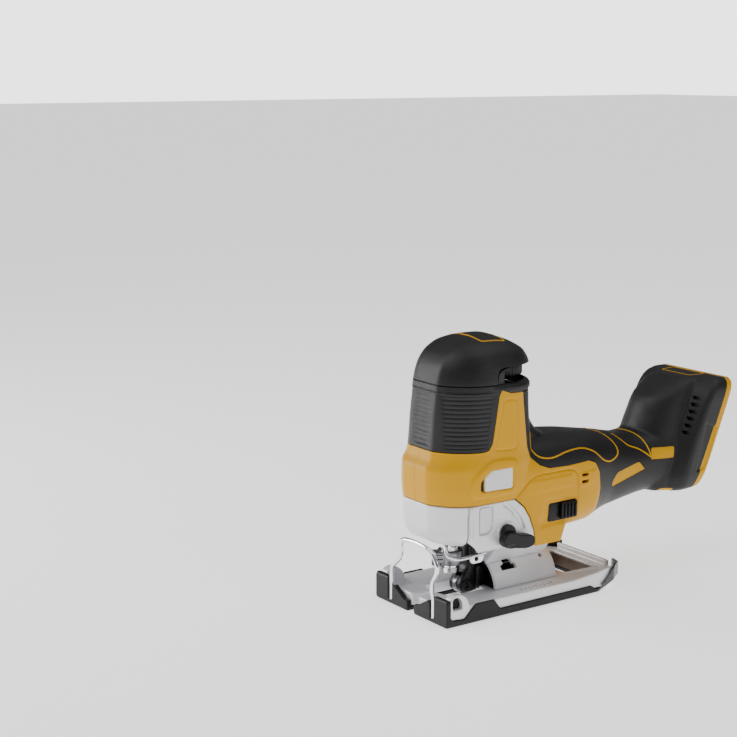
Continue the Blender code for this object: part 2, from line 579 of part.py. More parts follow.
# ---- shoe ---------------------------------------------------------------------------------------
def make_shoe():
    w = SHOE_HALF_WIDTH
    shoe = plate("shoe_plate", [[(-w, -76.4), (-3.4, -76.4), (-3.4, -61.0), (-15.5, -57.0), (-15.5, -27.0),
                                 (15.5, -27.0), (15.5, -57.0), (3.4, -61.0), (3.4, -76.4), (w, -76.4),
                                 (w, 68.0), (w - 4, 76.0), (w - 12, 80.2), (-w + 12, 80.2),
                                 (-w + 4, 76.0), (-w, 68.0)],
                                [(-22, 40), (22, 40), (24, 70), (-24, 70)]], "Z",
                 SOLE_TOP + GAP, SHOE_FLOOR, ALUMINIUM)
    for side in (1, -1):
        rim = box("rim", (side * (w - 3.6), -60.0, SHOE_FLOOR - 2), (side * (w - 1.4), 68.0, SHOE_WALL))
        join(shoe, rim)
        block = plate("front_wall", [[(-76.4, 8.0), (-58.0, 8.0), (-60.0, 15.0), (-66.0, 21.0),
                                      (-72.0, 20.0), (-76.4, 18.6)]], "X",
                      min(side * (w - 3.5), side * w), max(side * (w - 3.5), side * w), target=CUTTERS)
        join(shoe, block)
        cut(shoe, box("pocket", (side * 22, -74.0, SOLE_TOP + 2), (side * (w - 4.2), -60.0, 30)))
    join(shoe, box("rear_wall", (-27, 76.5, SHOE_FLOOR - 2), (27, 79.9, 14.2)))
    cut(shoe, box("bracket_slot", (-7.0, -14.0, 0), (7.0, 26.0, 20)))
    tidy(shoe)
    cover = plate("sole_cover", [[(-w, SHOE_FRONT), (-3.4, SHOE_FRONT), (-3.4, -61.0), (-15.5, -57.0),
                                  (-15.5, -27.0), (15.5, -27.0), (15.5, -57.0), (3.4, -61.0),
                                  (3.4, SHOE_FRONT), (w, SHOE_FRONT), (w, 60.0), (w - 6, 70.0),
                                  (w - 14, 74.0), (-w + 14, 74.0), (-w + 6, 70.0), (-w, 60.0)],
                                 [(-22, 40), (22, 40), (24, 68), (-24, 68)]], "Z", 0.0, SOLE_TOP,
                  BLACK_PLASTIC)
    for side in (1, -1):
        join(cover, box("post", (side * 27, SHOE_FRONT, 1), (side * w, -76.9, POST_HEIGHT)))
        join(cover, box("lip", (side * 3.5, SHOE_FRONT, 1), (side * 22, -76.9, 10.0)))
    tidy(cover)
    for name, side in (("corner_clip_left", 1), ("corner_clip_right", -1)):
        plate(name, [[(side * (w - 12.2), 82.0), (side * (w - 4.0), 78.0), (side * (w + 0.6), 69.0),
                      (side * (w + 0.6), 64.0), (side * (w + 1.6), 64.0),
                      (side * (w + 1.6), 70.0), (side * (w - 3.4), 80.2),
                      (side * (w - 12.0), 84.2)]], "Z", 5.5, 16.5, CLEAR_PLASTIC)


def make_saddle():
    centre = (0, BEVEL_Z)
    base = math.degrees(math.asin((SHOE_FLOOR + GAP - BEVEL_Z) / SADDLE_RADIUS))
    section = arc(centre, SADDLE_RADIUS, base, 180 - base, 25)
    section += arc(centre, SADDLE_RADIUS - 2.6, 180 - base, base, 25)
    saddle = plate("saddle_bracket", [section], "Y", SADDLE_FRONT, SADDLE_REAR, ALUMINIUM)
    low, high = 90 - BEVEL_SWING, 90 + BEVEL_SWING
    room = arc(centre, SADDLE_RADIUS + 3, low, high, 13) + arc(centre, SADDLE_RADIUS - 6, high, low, 13)
    cut(saddle, plate("bevel_slot", [room], "Y", BOLT_Y - 4.2, BOLT_Y + 4.2, target=CUTTERS))
    tidy(saddle)
    bolt = cylinder("bevel_bolt", (0, BOLT_Y, 30.2), (0, BOLT_Y, 50.0), 3.0, BRIGHT_STEEL, sides=14)
    join(bolt, cylinder("bolt_head", (0, BOLT_Y, 26.0), (0, BOLT_Y, 30.4), 6.2, sides=6))
    tidy(bolt)
    plate("bevel_nut", [circle((0, BOLT_Y), 6.0, 6), circle((0, BOLT_Y), 3.35, 14)], "Z",
          46.8, 50.6, STEEL)


def smooth_route(points, steps=4):
    """Catmull-Rom points through a hand-placed route."""
    route = [Vector(p) for p in points]
    ends = [2 * route[0] - route[1]] + route + [2 * route[-1] - route[-2]]
    out = []
    for a, b, c, d in zip(ends, ends[1:], ends[2:], ends[3:]):
        for i in range(steps):
            t = i / steps
            out.append(0.5 * ((2 * b) + (c - a) * t + (2 * a - 5 * b + 4 * c - d) * t * t
                              + (3 * b - a - 3 * c + d) * t ** 3))
    return out + [route[-1]]


def make_wires():
    leg_y, top_y = -78.9, -83.0
    guard = [(24.6, leg_y, 3.8), (24.6, leg_y, 16.0), (25.4, -80.6, 26.5), (33.5, -82.2, 36.0),
             (35.6, top_y, 43.0), (31.0, top_y, 50.6), (16.0, top_y, 54.4), (0.0, top_y, 53.4),
             (-5.2, top_y, 48.0), (-6.4, -82.4, 39.0), (-20.5, -81.0, 28.5), (-24.6, leg_y, 16.0),
             (-24.6, leg_y, 3.8)]
    wire("wire_guard", smooth_route(guard, 3), 1.35, BRIGHT_STEEL)
    hook = [(15.0, -58.0, 54.0), (15.4, -59.2, 48.0), (17.5, -60.5, 44.0), (18.5, -57.5, 40.4),
            (19.0, -48.0, 38.8), (19.5, -36.0, 39.2), (19.5, -27.2, 39.8)]
    wire("hook_wire", smooth_route(hook, 3), 1.1, BRIGHT_STEEL)


# ---- controls, electrics and fasteners ----------------------------------------------------------
def make_switch():
    y, z = SWITCH_CENTRE.yz
    track = box("switch_track", (33.2, 13.6, 58.0), (35.5, 39.4, 71.5), BLACK_PLASTIC)
    cut(track, box("track_slot", (30, 19.6, z - 2.6), (40, 34.6, z + 2.6)))
    tidy(track)
    button = box("slide_switch", (35.9, y - 7.3, z - 6.2), (38.2, y + 7.3, z + 5.9), BLACK_PLASTIC)
    for i in range(4):
        rib = y - 5.2 + 3.4 * i
        join(button, box("rib", (37.5, rib - 0.8, z - 5.0), (39.4, rib + 0.8, z + 4.7)))
    join(button, box("stem", (29.7, y - 2.0, z - 2.0), (36.5, y + 2.0, z + 2.0)))
    tidy(button)
    box("switch_unit", (24.7, 16.0, 62.5), (28.8, 37.0, 71.0), DARK_PLASTIC)


def make_dial():
    x, y, z = DIAL_CENTRE
    knurl = []
    for i in range(40):
        for share, reach in ((0.0, DIAL_RADIUS - 0.7), (0.3, DIAL_RADIUS), (0.7, DIAL_RADIUS)):
            turn = 2 * math.pi * (i + share) / 40
            knurl.append((x + reach * math.cos(turn), y + reach * math.sin(turn)))
    dial = plate("speed_dial", [knurl], "Z", z - 5.0, z + 5.0, BLACK_PLASTIC)
    join(dial, cylinder("dial_shaft", (x, y, 156.4), (x, y, z - 4.0), 2.0, sides=12))
    tidy(dial)
    box("dial_potentiometer", (-8.0, y - 8.0, 148.0), (8.0, y + 8.0, 156.0), DARK_PLASTIC)


def make_badges():
    for name, side in (("badge_left", 1), ("badge_right", -1)):
        outline = [(-49.0, 88.7), (-20.3, 88.7), (-20.3, 103.8), (-39.5, 103.8), (-49.0, 97.4)]
        ends = sorted((side * 35.95, side * 37.5))
        plate(name, [outline], "X", ends[0], ends[1], SILVER_PLASTIC)


def make_battery_socket():
    def slab(front, back, low, high):
        return [(foot_line(low) + front, low), (foot_line(low) + back, low),
                (foot_line(high) + back, high), (foot_line(high) + front, high)]
    panel = plate("battery_plate", [slab(-12.0, -9.0, 67.5, 134.0)], "X", -32.0, 32.0, BLACK_PLASTIC)
    cut(panel, plate("block_room", [slab(-20.0, 0.0, 92.0, 118.0)], "X", -13.5, 13.5, target=CUTTERS))
    plate("terminal_block", [slab(-24.0, -8.0, 93.0, 117.0)], "X", -13.0, 13.0, DARK_PLASTIC)
    for name, x in (("positive_blade", 8.0), ("negative_blade", -8.0)):
        plate(name, [slab(-7.6, -1.2, 96.0, 112.0)], "X", x - 0.4, x + 0.4, BRASS)


def make_electronics():
    box("controller_module", (-15, 71, 63), (15, 106, 86), DARK_PLASTIC, bevel=1.0)
    cylinder("led_lens", (-20, -54.5, 45.6), (-20, -54.5, 46.9), 2.2, CLEAR_PLASTIC, sides=16)


def make_screws():
    right = bpy.data.objects["housing_right"]
    for i, (y, z) in enumerate(((14.0, 62.0), (50.0, 88.0), (-24.0, 110.0), (-3.0, 92.0))):
        cut(right, cylinder("head_room", (-60, y, z), (-34.4, y, z), 3.4, sides=16))
        cut(right, cylinder("shank_room", (-40, y, z), (-20, y, z), 1.9, sides=12))
        screw = cylinder(f"housing_screw_{i + 1}", (-35.8, y, z), (-34.8, y, z), 3.0, STEEL, sides=16)
        join(screw, cylinder("shank", (-35.2, y, z), (-30.6, y, z), 1.5, sides=12))
        cut(screw, cylinder("socket", (-37, y, z), (-35.2, y, z), 1.4, sides=6))
        tidy(screw)
    tidy(right)


# ---- joints and shading -------------------------------------------------------------------------
def place_origins():
    """Puts each moving piece's origin on its joint's axis."""
    axes = {"motor_rotor": (0, 20, MOTOR_Z), "pinion_shaft": (0, 20, MOTOR_Z),
            "cooling_fan": (0, 20, MOTOR_Z), "drive_gear": (0, -25.5, GEAR_Z),
            "gear_shaft": (0, -25.5, GEAR_Z), "crank_pin": (0, -25.5, GEAR_Z),
            "clamp_lever": (0, PLUNGER_Y, 34.5), "roller_fork": FORK_PIVOT, "roller_pin": FORK_PIVOT,
            "guide_roller": ROLLER_CENTRE, "orbital_lever": LEVER_PIVOT, "orbital_shaft": LEVER_PIVOT,
            "speed_dial": DIAL_CENTRE}
    for name in ("plunger", "yoke", "blade_clamp"):
        axes[name] = (0, PLUNGER_Y, CRANK_Z)
    for name in ("shoe_plate", "sole_cover", "saddle_bracket", "corner_clip_left",
                 "corner_clip_right", "wire_guard"):
        axes[name] = (0, 0, BEVEL_Z)
    for name, axis in axes.items():
        obj = bpy.data.objects[name]
        point = Vector(axis) * MM
        obj.data.transform(Matrix.Translation(-point))
        obj.location = point


def shade_pieces():
    for obj in PARTS.objects:
        obj.data.shade_smooth()
        obj.data.set_sharp_from_angle(angle=math.radians(32))


# ---- build --------------------------------------------------------------------------------------
clear_scene()
PARTS = collection("jigsaw")
CUTTERS = collection("cutters")
YELLOW_PLASTIC = material("yellow_plastic", (0.94, 0.48, 0.01), 0.4)
BLACK_RUBBER = material("black_rubber", (0.02, 0.02, 0.022), 0.6)
BLACK_PLASTIC = material("black_plastic", (0.025, 0.025, 0.027), 0.45)
DARK_PLASTIC = material("dark_plastic", (0.05, 0.05, 0.055), 0.5)
SILVER_PLASTIC = material("silver_plastic", (0.7, 0.7, 0.72), 0.4)
CLEAR_PLASTIC = material("smoky_plastic", (0.25, 0.26, 0.27), 0.2)
ALUMINIUM = material("cast_aluminium", (0.72, 0.73, 0.75), 0.4, 0.6)
STEEL = material("steel", (0.45, 0.45, 0.47), 0.35, 1.0)
BRIGHT_STEEL = material("bright_steel", (0.75, 0.75, 0.77), 0.2, 1.0)
BLACK_METAL = material("black_metal", (0.03, 0.03, 0.032), 0.4, 0.5)
BRASS = material("brass", (0.75, 0.58, 0.28), 0.3, 1.0)

OUTER = body_solid("outer", 0.0)
UNDER = body_solid("under", SHELL + GAP, -0.4)
HOLLOW = body_solid("hollow", SHELL, 3.0)
ROOM = body_solid("room", INNER, 3.2)
make_housing(OUTER, UNDER, ROOM)
make_skins(OUTER, HOLLOW)
make_cap(OUTER, ROOM)
for solid in (OUTER, UNDER, HOLLOW, ROOM):
    bpy.data.objects.remove(solid, do_unlink=True)
make_castings()
make_motor()
make_drive()
make_plunger()
make_blade_clamp()
make_orbital()
make_shoe()
make_saddle()
make_wires()
make_switch()
make_dial()
make_badges()
make_battery_socket()
make_electronics()
make_screws()
place_origins()
shade_pieces()
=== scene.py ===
"""Looks of the cordless barrel-grip jigsaw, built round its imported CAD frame.

+Z is up, the blade end faces -Y and +X is the tool's left side. Sizes are in millimetres and MM
scales them to metres. The shells come from station tables of their own, which follow the real
form more closely than the CAD solids do.
"""
import json
from math import asin, copysign, cos, degrees, pi, radians, sin, sqrt

import bmesh
import bpy
import numpy as np
from mathutils import Matrix, Vector
from mathutils.bvhtree import BVHTree


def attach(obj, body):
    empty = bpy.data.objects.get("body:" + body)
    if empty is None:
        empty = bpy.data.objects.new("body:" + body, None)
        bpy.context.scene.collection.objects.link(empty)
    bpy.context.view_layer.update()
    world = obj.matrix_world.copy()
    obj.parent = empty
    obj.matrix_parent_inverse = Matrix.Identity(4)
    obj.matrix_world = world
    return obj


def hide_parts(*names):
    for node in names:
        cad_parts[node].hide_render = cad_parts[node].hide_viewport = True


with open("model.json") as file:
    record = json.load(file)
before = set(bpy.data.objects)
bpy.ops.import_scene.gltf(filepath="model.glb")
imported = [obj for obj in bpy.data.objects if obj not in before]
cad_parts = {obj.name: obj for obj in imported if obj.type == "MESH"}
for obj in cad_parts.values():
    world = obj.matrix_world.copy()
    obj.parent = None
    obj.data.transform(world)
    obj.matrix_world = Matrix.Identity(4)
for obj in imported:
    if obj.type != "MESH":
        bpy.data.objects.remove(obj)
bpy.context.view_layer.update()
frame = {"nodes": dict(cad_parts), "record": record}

MM = 0.001
NODES = frame["nodes"]
SIDES = (1, -1)


def put(name, data):
    obj = bpy.data.objects.new(name, data)
    bpy.context.scene.collection.objects.link(obj)
    return obj


# ---- camera, floor and light ----
CAMERA_PLACE = (0.856141, -0.707482, 0.374836)
CAMERA_WAY = (-0.808111, 0.558544, -0.187046)
FILM_WIDTH, LENS = 36, 78.07
FLOOR_REACH, FLOOR_DROP, FLOOR_GLOW = 14, 0.0003, 1.05


def turned(way):
    return Vector(way).to_track_quat("-Z", "Y").to_euler()


def make_camera():
    """A long lens from the front left, above the tool."""
    camera = put("camera", bpy.data.cameras.new("camera"))
    camera.data.sensor_width, camera.data.lens = FILM_WIDTH, LENS
    camera.location, camera.rotation_euler = CAMERA_PLACE, turned(CAMERA_WAY)
    bpy.context.scene.camera = camera


def area_light(name, place, target, size, power):
    light = put(name, bpy.data.lights.new(name, "AREA"))
    light.data.shape, light.data.energy = "RECTANGLE", power
    light.data.size, light.data.size_y = size
    light.location, light.rotation_euler = place, turned(Vector(target) - Vector(place))


def set_inputs(node, **values):
    """Sets a node's inputs by name, with underscores for spaces."""
    for name, value in values.items():
        node.inputs[name.replace("_", " ")].default_value = value
    return node


def colour_ramp(nodes, *stops):
    made = nodes.new("ShaderNodeValToRGB")
    for element, (position, colour) in zip(made.color_ramp.elements, stops):
        element.position, element.color = position, (*colour, 1)
    return made


def make_world():
    """Soft light from above that fades towards the horizon; the camera itself sees plain white."""
    world = bpy.data.worlds.new("studio")
    bpy.context.scene.world = world
    world.use_nodes = True
    nodes, links = world.node_tree.nodes, world.node_tree.links
    background = set_inputs(nodes["Background"], Strength=0.3)
    place = nodes.new("ShaderNodeTexCoord")
    split = nodes.new("ShaderNodeSeparateXYZ")
    links.new(place.outputs["Generated"], split.inputs["Vector"])
    ramp = colour_ramp(nodes, (0, (0.3, 0.3, 0.31)), (0.75, (0.95, 0.95, 0.96)))
    links.new(split.outputs["Z"], ramp.inputs["Fac"])
    links.new(ramp.outputs["Color"], background.inputs["Color"])
    plain = set_inputs(nodes.new("ShaderNodeBackground"), Color=(1, 1, 1, 1), Strength=3)
    rays = nodes.new("ShaderNodeLightPath")
    mix = nodes.new("ShaderNodeMixShader")
    links.new(rays.outputs["Is Camera Ray"], mix.inputs["Fac"])
    links.new(background.outputs["Background"], mix.inputs[1])
    links.new(plain.outputs["Background"], mix.inputs[2])
    links.new(mix.outputs["Shader"], nodes["World Output"].inputs["Surface"])


def make_studio():
    make_world()
    area_light("key", (-0.25, -0.75, 1.2), (0, 0, 0.08), (0.9, 0.7), 5.2)
    area_light("top", (0.2, 0.35, 1.3), (0, 0.05, 0.1), (1.2, 0.9), 3.4)
    area_light("front_strip", (-0.95, -0.8, 0.32), (0, 0, 0.1), (0.3, 0.9), 8.5)
    area_light("side", (1.2, 0.35, 0.75), (0, 0.05, 0.08), (0.6, 0.5), 1.6)
    mesh, r = bpy.data.meshes.new("floor"), FLOOR_REACH
    mesh.from_pydata([(-r, -r, 0), (r, -r, 0), (r, r, 0), (-r, r, 0)], [], [(0, 1, 2, 3)])
    floor = put("floor", mesh)
    floor.location.z = -FLOOR_DROP
    paper = surface("floor_paper", (0.93, 0.93, 0.93), 0.9, grain=(300, 0.01), vary=0.01)
    set_inputs(paper.node_tree.nodes["Principled BSDF"], Emission_Color=(1, 1, 1, 1),
               Emission_Strength=FLOOR_GLOW)
    floor.data.materials.append(paper)


# ---- materials ----
MOTTLE_SCALE, GLOSS_VARY, BUMP_DEPTH = 45, 0.08, 0.0004


def surface(name, colour, roughness, metallic=0, grain=(900, 0.1), vary=0.06, specular=0.5, clear=0,
            streak=(1, 1, 1)):
    """A procedural finish: mottled colour, uneven gloss and a fine bump in object space."""
    made = bpy.data.materials.new(name)
    made.use_nodes = True
    nodes, links = made.node_tree.nodes, made.node_tree.links
    shader = set_inputs(nodes["Principled BSDF"], Metallic=metallic, Specular_IOR_Level=specular,
                        Transmission_Weight=clear)
    place = nodes.new("ShaderNodeTexCoord")
    mapping = set_inputs(nodes.new("ShaderNodeMapping"), Scale=streak)
    links.new(place.outputs["Object"], mapping.inputs["Vector"])

    broad = set_inputs(nodes.new("ShaderNodeTexNoise"), Scale=MOTTLE_SCALE, Detail=4)
    links.new(mapping.outputs["Vector"], broad.inputs["Vector"])
    ramp = colour_ramp(nodes, (0.3, [c * (1 - vary) for c in colour]),
                       (0.7, [min(c * (1 + vary), 1) for c in colour]))
    links.new(broad.outputs["Fac"], ramp.inputs["Fac"])
    links.new(ramp.outputs["Color"], shader.inputs["Base Color"])

    gloss = set_inputs(nodes.new("ShaderNodeMapRange"), To_Min=max(roughness - GLOSS_VARY, 0.02),
                       To_Max=min(roughness + GLOSS_VARY, 1))
    links.new(broad.outputs["Fac"], gloss.inputs["Value"])
    links.new(gloss.outputs["Result"], shader.inputs["Roughness"])

    fine = set_inputs(nodes.new("ShaderNodeTexNoise"), Scale=grain[0], Detail=2)
    links.new(mapping.outputs["Vector"], fine.inputs["Vector"])
    bump = set_inputs(nodes.new("ShaderNodeBump"), Strength=grain[1], Distance=BUMP_DEPTH)
    links.new(fine.outputs["Fac"], bump.inputs["Height"])
    links.new(bump.outputs["Normal"], shader.inputs["Normal"])
    return made


# colour, roughness, metallic, grain scale and strength, variation, specular, clearness, streak
LOOKS = {
    "yellow_plastic": ((0.72, 0.36, 0), 0.36, 0, (1500, 0.06), 0.015, 0.2),
    "black_rubber": ((0.007, 0.007, 0.0075), 0.46, 0, (1900, 0.3), 0.2, 0.45),
    "black_plastic": ((0.006, 0.006, 0.0065), 0.38, 0, (1500, 0.14), 0.15, 0.28),
    "dark_plastic": ((0.012, 0.012, 0.013), 0.5, 0, (1200, 0.1), 0.15, 0.35),
    "silver_plastic": ((0.88, 0.88, 0.91), 0.36, 0, (1500, 0.05), 0.02),
    "smoky_plastic": ((0.1, 0.105, 0.11), 0.2, 0, (700, 0.03), 0.06, 0.5, 0.35),
    "cast_aluminium": ((0.86, 0.86, 0.885), 0.38, 0.3, (1300, 0.16), 0.03),
    "steel": ((0.24, 0.24, 0.26), 0.28, 1, (700, 0.05), 0.06, 0.5, 0, (1, 1, 8)),
    "bright_steel": ((0.92, 0.92, 0.94), 0.14, 1, (900, 0.03)),
    "black_metal": ((0.009, 0.009, 0.01), 0.33, 0.3, (900, 0.15), 0.3),
    "brass": ((0.78, 0.52, 0.18), 0.26, 1, (800, 0.04)),
}
FINISHES = {name: surface(name + "_fine", *look) for name, look in LOOKS.items()}
SHADOW = surface("deep_shadow", (0.004, 0.004, 0.004), 0.8, grain=(600, 0.05))


def dress_nodes():
    """Gives every CAD node the fine finish of its record slot."""
    slots = {part["node"]: part["material_slot"] for part in frame["record"]["subparts"]}
    for name, obj in NODES.items():
        finish = FINISHES[slots[name]]
        if not obj.material_slots:
            obj.data.materials.append(finish)
        for place in obj.material_slots:
            place.material = finish


# ---- mesh helpers ----
WELD = 0.000004
ROUND_STEPS, ROUTE_STEPS = 5, 6


def from_bmesh(name, bm):
    bmesh.ops.recalc_face_normals(bm, faces=bm.faces)
    mesh = bpy.data.meshes.new(name)
    bm.to_mesh(mesh)
    bm.free()
    return put(name, mesh)


def remove(*objs):
    for obj in objs:
        bpy.data.objects.remove(obj, do_unlink=True)


def mesh_of(obj):
    bpy.context.view_layer.update()
    return bpy.data.meshes.new_from_object(obj.evaluated_get(bpy.context.evaluated_depsgraph_get()))


def baked(obj):
    """Applies every modifier on an object."""
    done = mesh_of(obj)
    obj.modifiers.clear()
    old, obj.data = obj.data, done
    if old.users == 0:
        bpy.data.meshes.remove(old)
    return obj


def boolean(obj, other, operation, keep=False):
    modifier = obj.modifiers.new(operation.lower(), "BOOLEAN")
    modifier.operation, modifier.solver, modifier.object = operation, "MANIFOLD", other
    baked(obj)
    if not keep:
        remove(other)
    return obj


def cut(obj, *others, keep=False):
    for other in others:
        boolean(obj, other, "DIFFERENCE", keep)
    return obj


def join(obj, *others):
    for other in others:
        boolean(obj, other, "UNION")
    return obj


def common(obj, other):
    return boolean(obj, other, "INTERSECT")


def duplicate(obj, name):
    return put(name, obj.data.copy())


def merged(name, *objs):
    """Several objects' meshes in one object, not yet united."""
    bm = bmesh.new()
    for obj in objs:
        bm.from_mesh(obj.data)
        remove(obj)
    return from_bmesh(name, bm)


def plate(name, outlines, axis, low, high, bevel=0):
    """Flat outlines in the plane across axis, extruded from low to high, with rounded rims."""
    curve = bpy.data.curves.new(name + "_outline", "CURVE")
    curve.dimensions, curve.fill_mode = "2D", "BOTH"
    curve.extrude = ((high - low) / 2 - bevel) * MM
    curve.bevel_depth, curve.offset = bevel * MM, -bevel * MM
    curve.bevel_resolution = 2
    for points in outlines:
        spline = curve.splines.new("POLY")
        spline.points.add(len(points) - 1)
        for point, (a, b) in zip(spline.points, points):
            point.co = (a * MM, b * MM, 0, 1)
        spline.use_cyclic_u = True
    guide = put(name + "_outline", curve)
    mesh = mesh_of(guide)
    remove(guide)
    bm = bmesh.new()
    bm.from_mesh(mesh)
    bmesh.ops.remove_doubles(bm, verts=bm.verts, dist=WELD)
    middle = (low + high) / 2 * MM
    frames = {"X": Matrix(((0, 0, 1, middle), (1, 0, 0, 0), (0, 1, 0, 0), (0, 0, 0, 1))),
              "Y": Matrix(((1, 0, 0, 0), (0, 0, -1, middle), (0, 1, 0, 0), (0, 0, 0, 1))),
              "Z": Matrix(((1, 0, 0, 0), (0, 1, 0, 0), (0, 0, 1, middle), (0, 0, 0, 1)))}
    bmesh.ops.transform(bm, matrix=frames[axis], verts=bm.verts)
    return from_bmesh(name, bm)


def side_plate(name, outline, side, near, far, bevel=0):
    """A plate on one side of the tool, between two distances from its middle."""
    return plate(name, [outline], "X", *sorted((side * near, side * far)), bevel)


def side_prism(name, outline):
    return plate(name, [outline], "X", -60, 60)


def block(name, low, high, bevel=0, segments=2):
    """A block between two corners with rounded edges."""
    low, high = Vector(low), Vector(high)
    bm = bmesh.new()
    bmesh.ops.create_cube(bm, size=1)
    bmesh.ops.scale(bm, vec=(high - low) * MM, verts=bm.verts)
    bmesh.ops.translate(bm, vec=(high + low) * MM / 2, verts=bm.verts)
    if bevel:
        bmesh.ops.bevel(bm, geom=bm.edges[:], offset=bevel * MM, segments=segments, profile=0.5,
                        affect="EDGES")
    return from_bmesh(name, bm)


def turns(count):
    return [2 * pi * i / count for i in range(count)]


def skin(bm, rows, closed=False):
    """Quads between rings of vertices, capped at both ends unless the row of rings is closed."""
    for lower, upper in zip(rows, rows[1:] + rows[:1] if closed else rows[1:]):
        for i in range(len(lower)):
            j = (i + 1) % len(lower)
            bm.faces.new((lower[i], lower[j], upper[j], upper[i]))
    if not closed:
        bm.faces.new(rows[0][::-1])
        bm.faces.new(rows[-1])


def loft(name, rings, closed=False):
    bm = bmesh.new()
    skin(bm, [[bm.verts.new(Vector(p) * MM) for p in ring] for ring in rings], closed)
    return from_bmesh(name, bm)


def rod(name, start, end, radius, sides=40, bevel=0):
    """A round bar between two points, its rims rounded."""
    start, end = Vector(start), Vector(end)
    length = (end - start).length
    rows = [(0, radius), (length, radius)]
    if bevel:
        rows = [(0, radius - bevel), (bevel, radius), (length - bevel, radius), (length, radius - bevel)]
    bm = bmesh.new()
    skin(bm, [[bm.verts.new((reach * MM * cos(t), reach * MM * sin(t), height * MM)) for t in turns(sides)]
              for height, reach in rows])
    turn = Vector((0, 0, 1)).rotation_difference(end - start).to_matrix().to_4x4()
    bmesh.ops.transform(bm, matrix=Matrix.Translation(start * MM) @ turn, verts=bm.verts)
    return from_bmesh(name, bm)


def axle(name, start, end, axis, radius, sides=40, bevel=0):
    """A rod across the tool at the (y, z) of an axis."""
    return rod(name, (start, *axis), (end, *axis), radius, sides, bevel)


def soften(obj, voxel, rounds, keep_share=1):
    """Remeshes a solid evenly and smooths it, which rounds its edges as casting does."""
    remesh = obj.modifiers.new("even", "REMESH")
    remesh.mode, remesh.voxel_size, remesh.adaptivity = "VOXEL", voxel * MM, 0
    smooth = obj.modifiers.new("smooth", "SMOOTH")
    smooth.factor, smooth.iterations = 0.5, rounds
    if keep_share < 1:
        obj.modifiers.new("fewer", "DECIMATE").ratio = keep_share
    return baked(obj)


def finish(obj, slot, body="body", stands_for=(), angle=40, look=None):
    """Shades a piece, gives it its finish, hangs it on the body it rides on and hides the CAD parts it stands
    for.
    """
    obj.data.materials.clear()
    obj.data.materials.append(look or FINISHES[slot])
    obj.data.shade_smooth()
    if angle:
        obj.data.set_sharp_from_angle(angle=radians(angle))
    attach(obj, body)
    if stands_for:
        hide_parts(*stands_for)
    return obj


def arc(centre, radius, start, end, count):
    way = [radians(start + (end - start) * i / (count - 1)) for i in range(count)]
    return [(centre[0] + radius * cos(t), centre[1] + radius * sin(t)) for t in way]


def circle(centre, radius, count=40):
    return arc(centre, radius, 0, 360 - 360 / count, count)


def rounded(points, radius):
    """A polygon with its corners rounded by quadratic curves."""
    out = []
    corners = [Vector(p) for p in points]
    for i, corner in enumerate(corners):
        before, after = corners[i - 1], corners[(i + 1) % len(corners)]
        back, on = before - corner, after - corner
        reach = min(radius, back.length * 0.49, on.length * 0.49)
        start, stop = corner + back.normalized() * reach, corner + on.normalized() * reach
        for k in range(ROUND_STEPS + 1):
            t = k / ROUND_STEPS
            out.append(tuple((1 - t) ** 2 * start + 2 * t * (1 - t) * corner + t * t * stop))
    return out


def smooth_route(points):
    """Catmull-Rom points through a given route."""
    route = [Vector(p) for p in points]
    ends = [2 * route[0] - route[1]] + route + [2 * route[-1] - route[-2]]
    out = []
    for a, b, c, d in zip(ends, ends[1:], ends[2:], ends[3:]):
        for i in range(ROUTE_STEPS):
            t = i / ROUTE_STEPS
            out.append(0.5 * ((2 * b) + (c - a) * t + (2 * a - 5 * b + 4 * c - d) * t * t
                              + (3 * b - a - 3 * c + d) * t ** 3))
    return out + [route[-1]]


def surface_tree(obj):
    mesh = obj.data
    return BVHTree.FromPolygons([v.co for v in mesh.vertices], [tuple(f.vertices) for f in mesh.polygons])


def draped_line(name, tree, rays, width, height, closed=False):
    """A low bead of even width that follows the surface where the rays meet it."""
    hits = []
    for start, way in rays:
        place, normal, _, _ = tree.ray_cast(Vector(start) * MM, Vector(way))
        if place is not None:
            hits.append((place / MM, normal))
    section = [(-0.5, -0.5), (-0.5, 0.45), (-0.28, 1), (0.28, 1), (0.5, 0.45), (0.5, -0.5)]
    rings = []
    last = len(hits) - 1
    for i, (here, normal) in enumerate(hits):
        before = hits[i - 1][0] if (i or closed) else here
        after = hits[(i + 1) % len(hits)][0] if (i < last or closed) else here
        side = (after - before).cross(normal).normalized()
        rings.append([here + side * a * width + normal * b * height for a, b in section])
    return loft(name, rings, closed)


def pipe(name, points, radius, sides):
    """A round wire along a list of points, with closed ends."""
    route = [Vector(p) for p in points]
    rings = []
    normal = None
    for i, here in enumerate(route):
        way = (route[min(i + 1, len(route) - 1)] - route[max(i - 1, 0)]).normalized()
        if normal is None:
            normal = way.orthogonal().normalized()
        normal = (normal - way * normal.dot(way)).normalized()
        side = way.cross(normal)
        rings.append([here + radius * (cos(t) * normal + sin(t) * side) for t in turns(sides)])
    return loft(name, rings)


# ---- the outer form ----
FACET = 12.8
BLEND_START = radians(22)
RING_Z, SLEEVE_Z, SEAM_Z = 80.4, 116.3, 161.6
GAP = 0.35
WALL = 2.4
# height, front face, end of the front blend, half width, rear face
BARREL = [(62, -75.6, -46, 36, 6), (80, -76.6, -46, 36.2, 10),
          (92, -77.6, -45, 37, 12), (104, -77.4, -44, 36.9, 12),
          (111, -73.6, -42, 36.2, 11.6), (116, -72.6, -40, 35.9, 11.2),
          (142, -70.6, -38, 35.6, 9), (162, -68.2, -36, 35.2, 8.4),
          (172, -65.4, -34, 34, 9.6), (180, -60.6, -31, 31.2, 6.6),
          (186, -53, -29, 25.6, -2.4), (190, -43.6, -27.5, 17, -12.4),
          (191.8, -34, -26.5, 7.2, -18.5)]
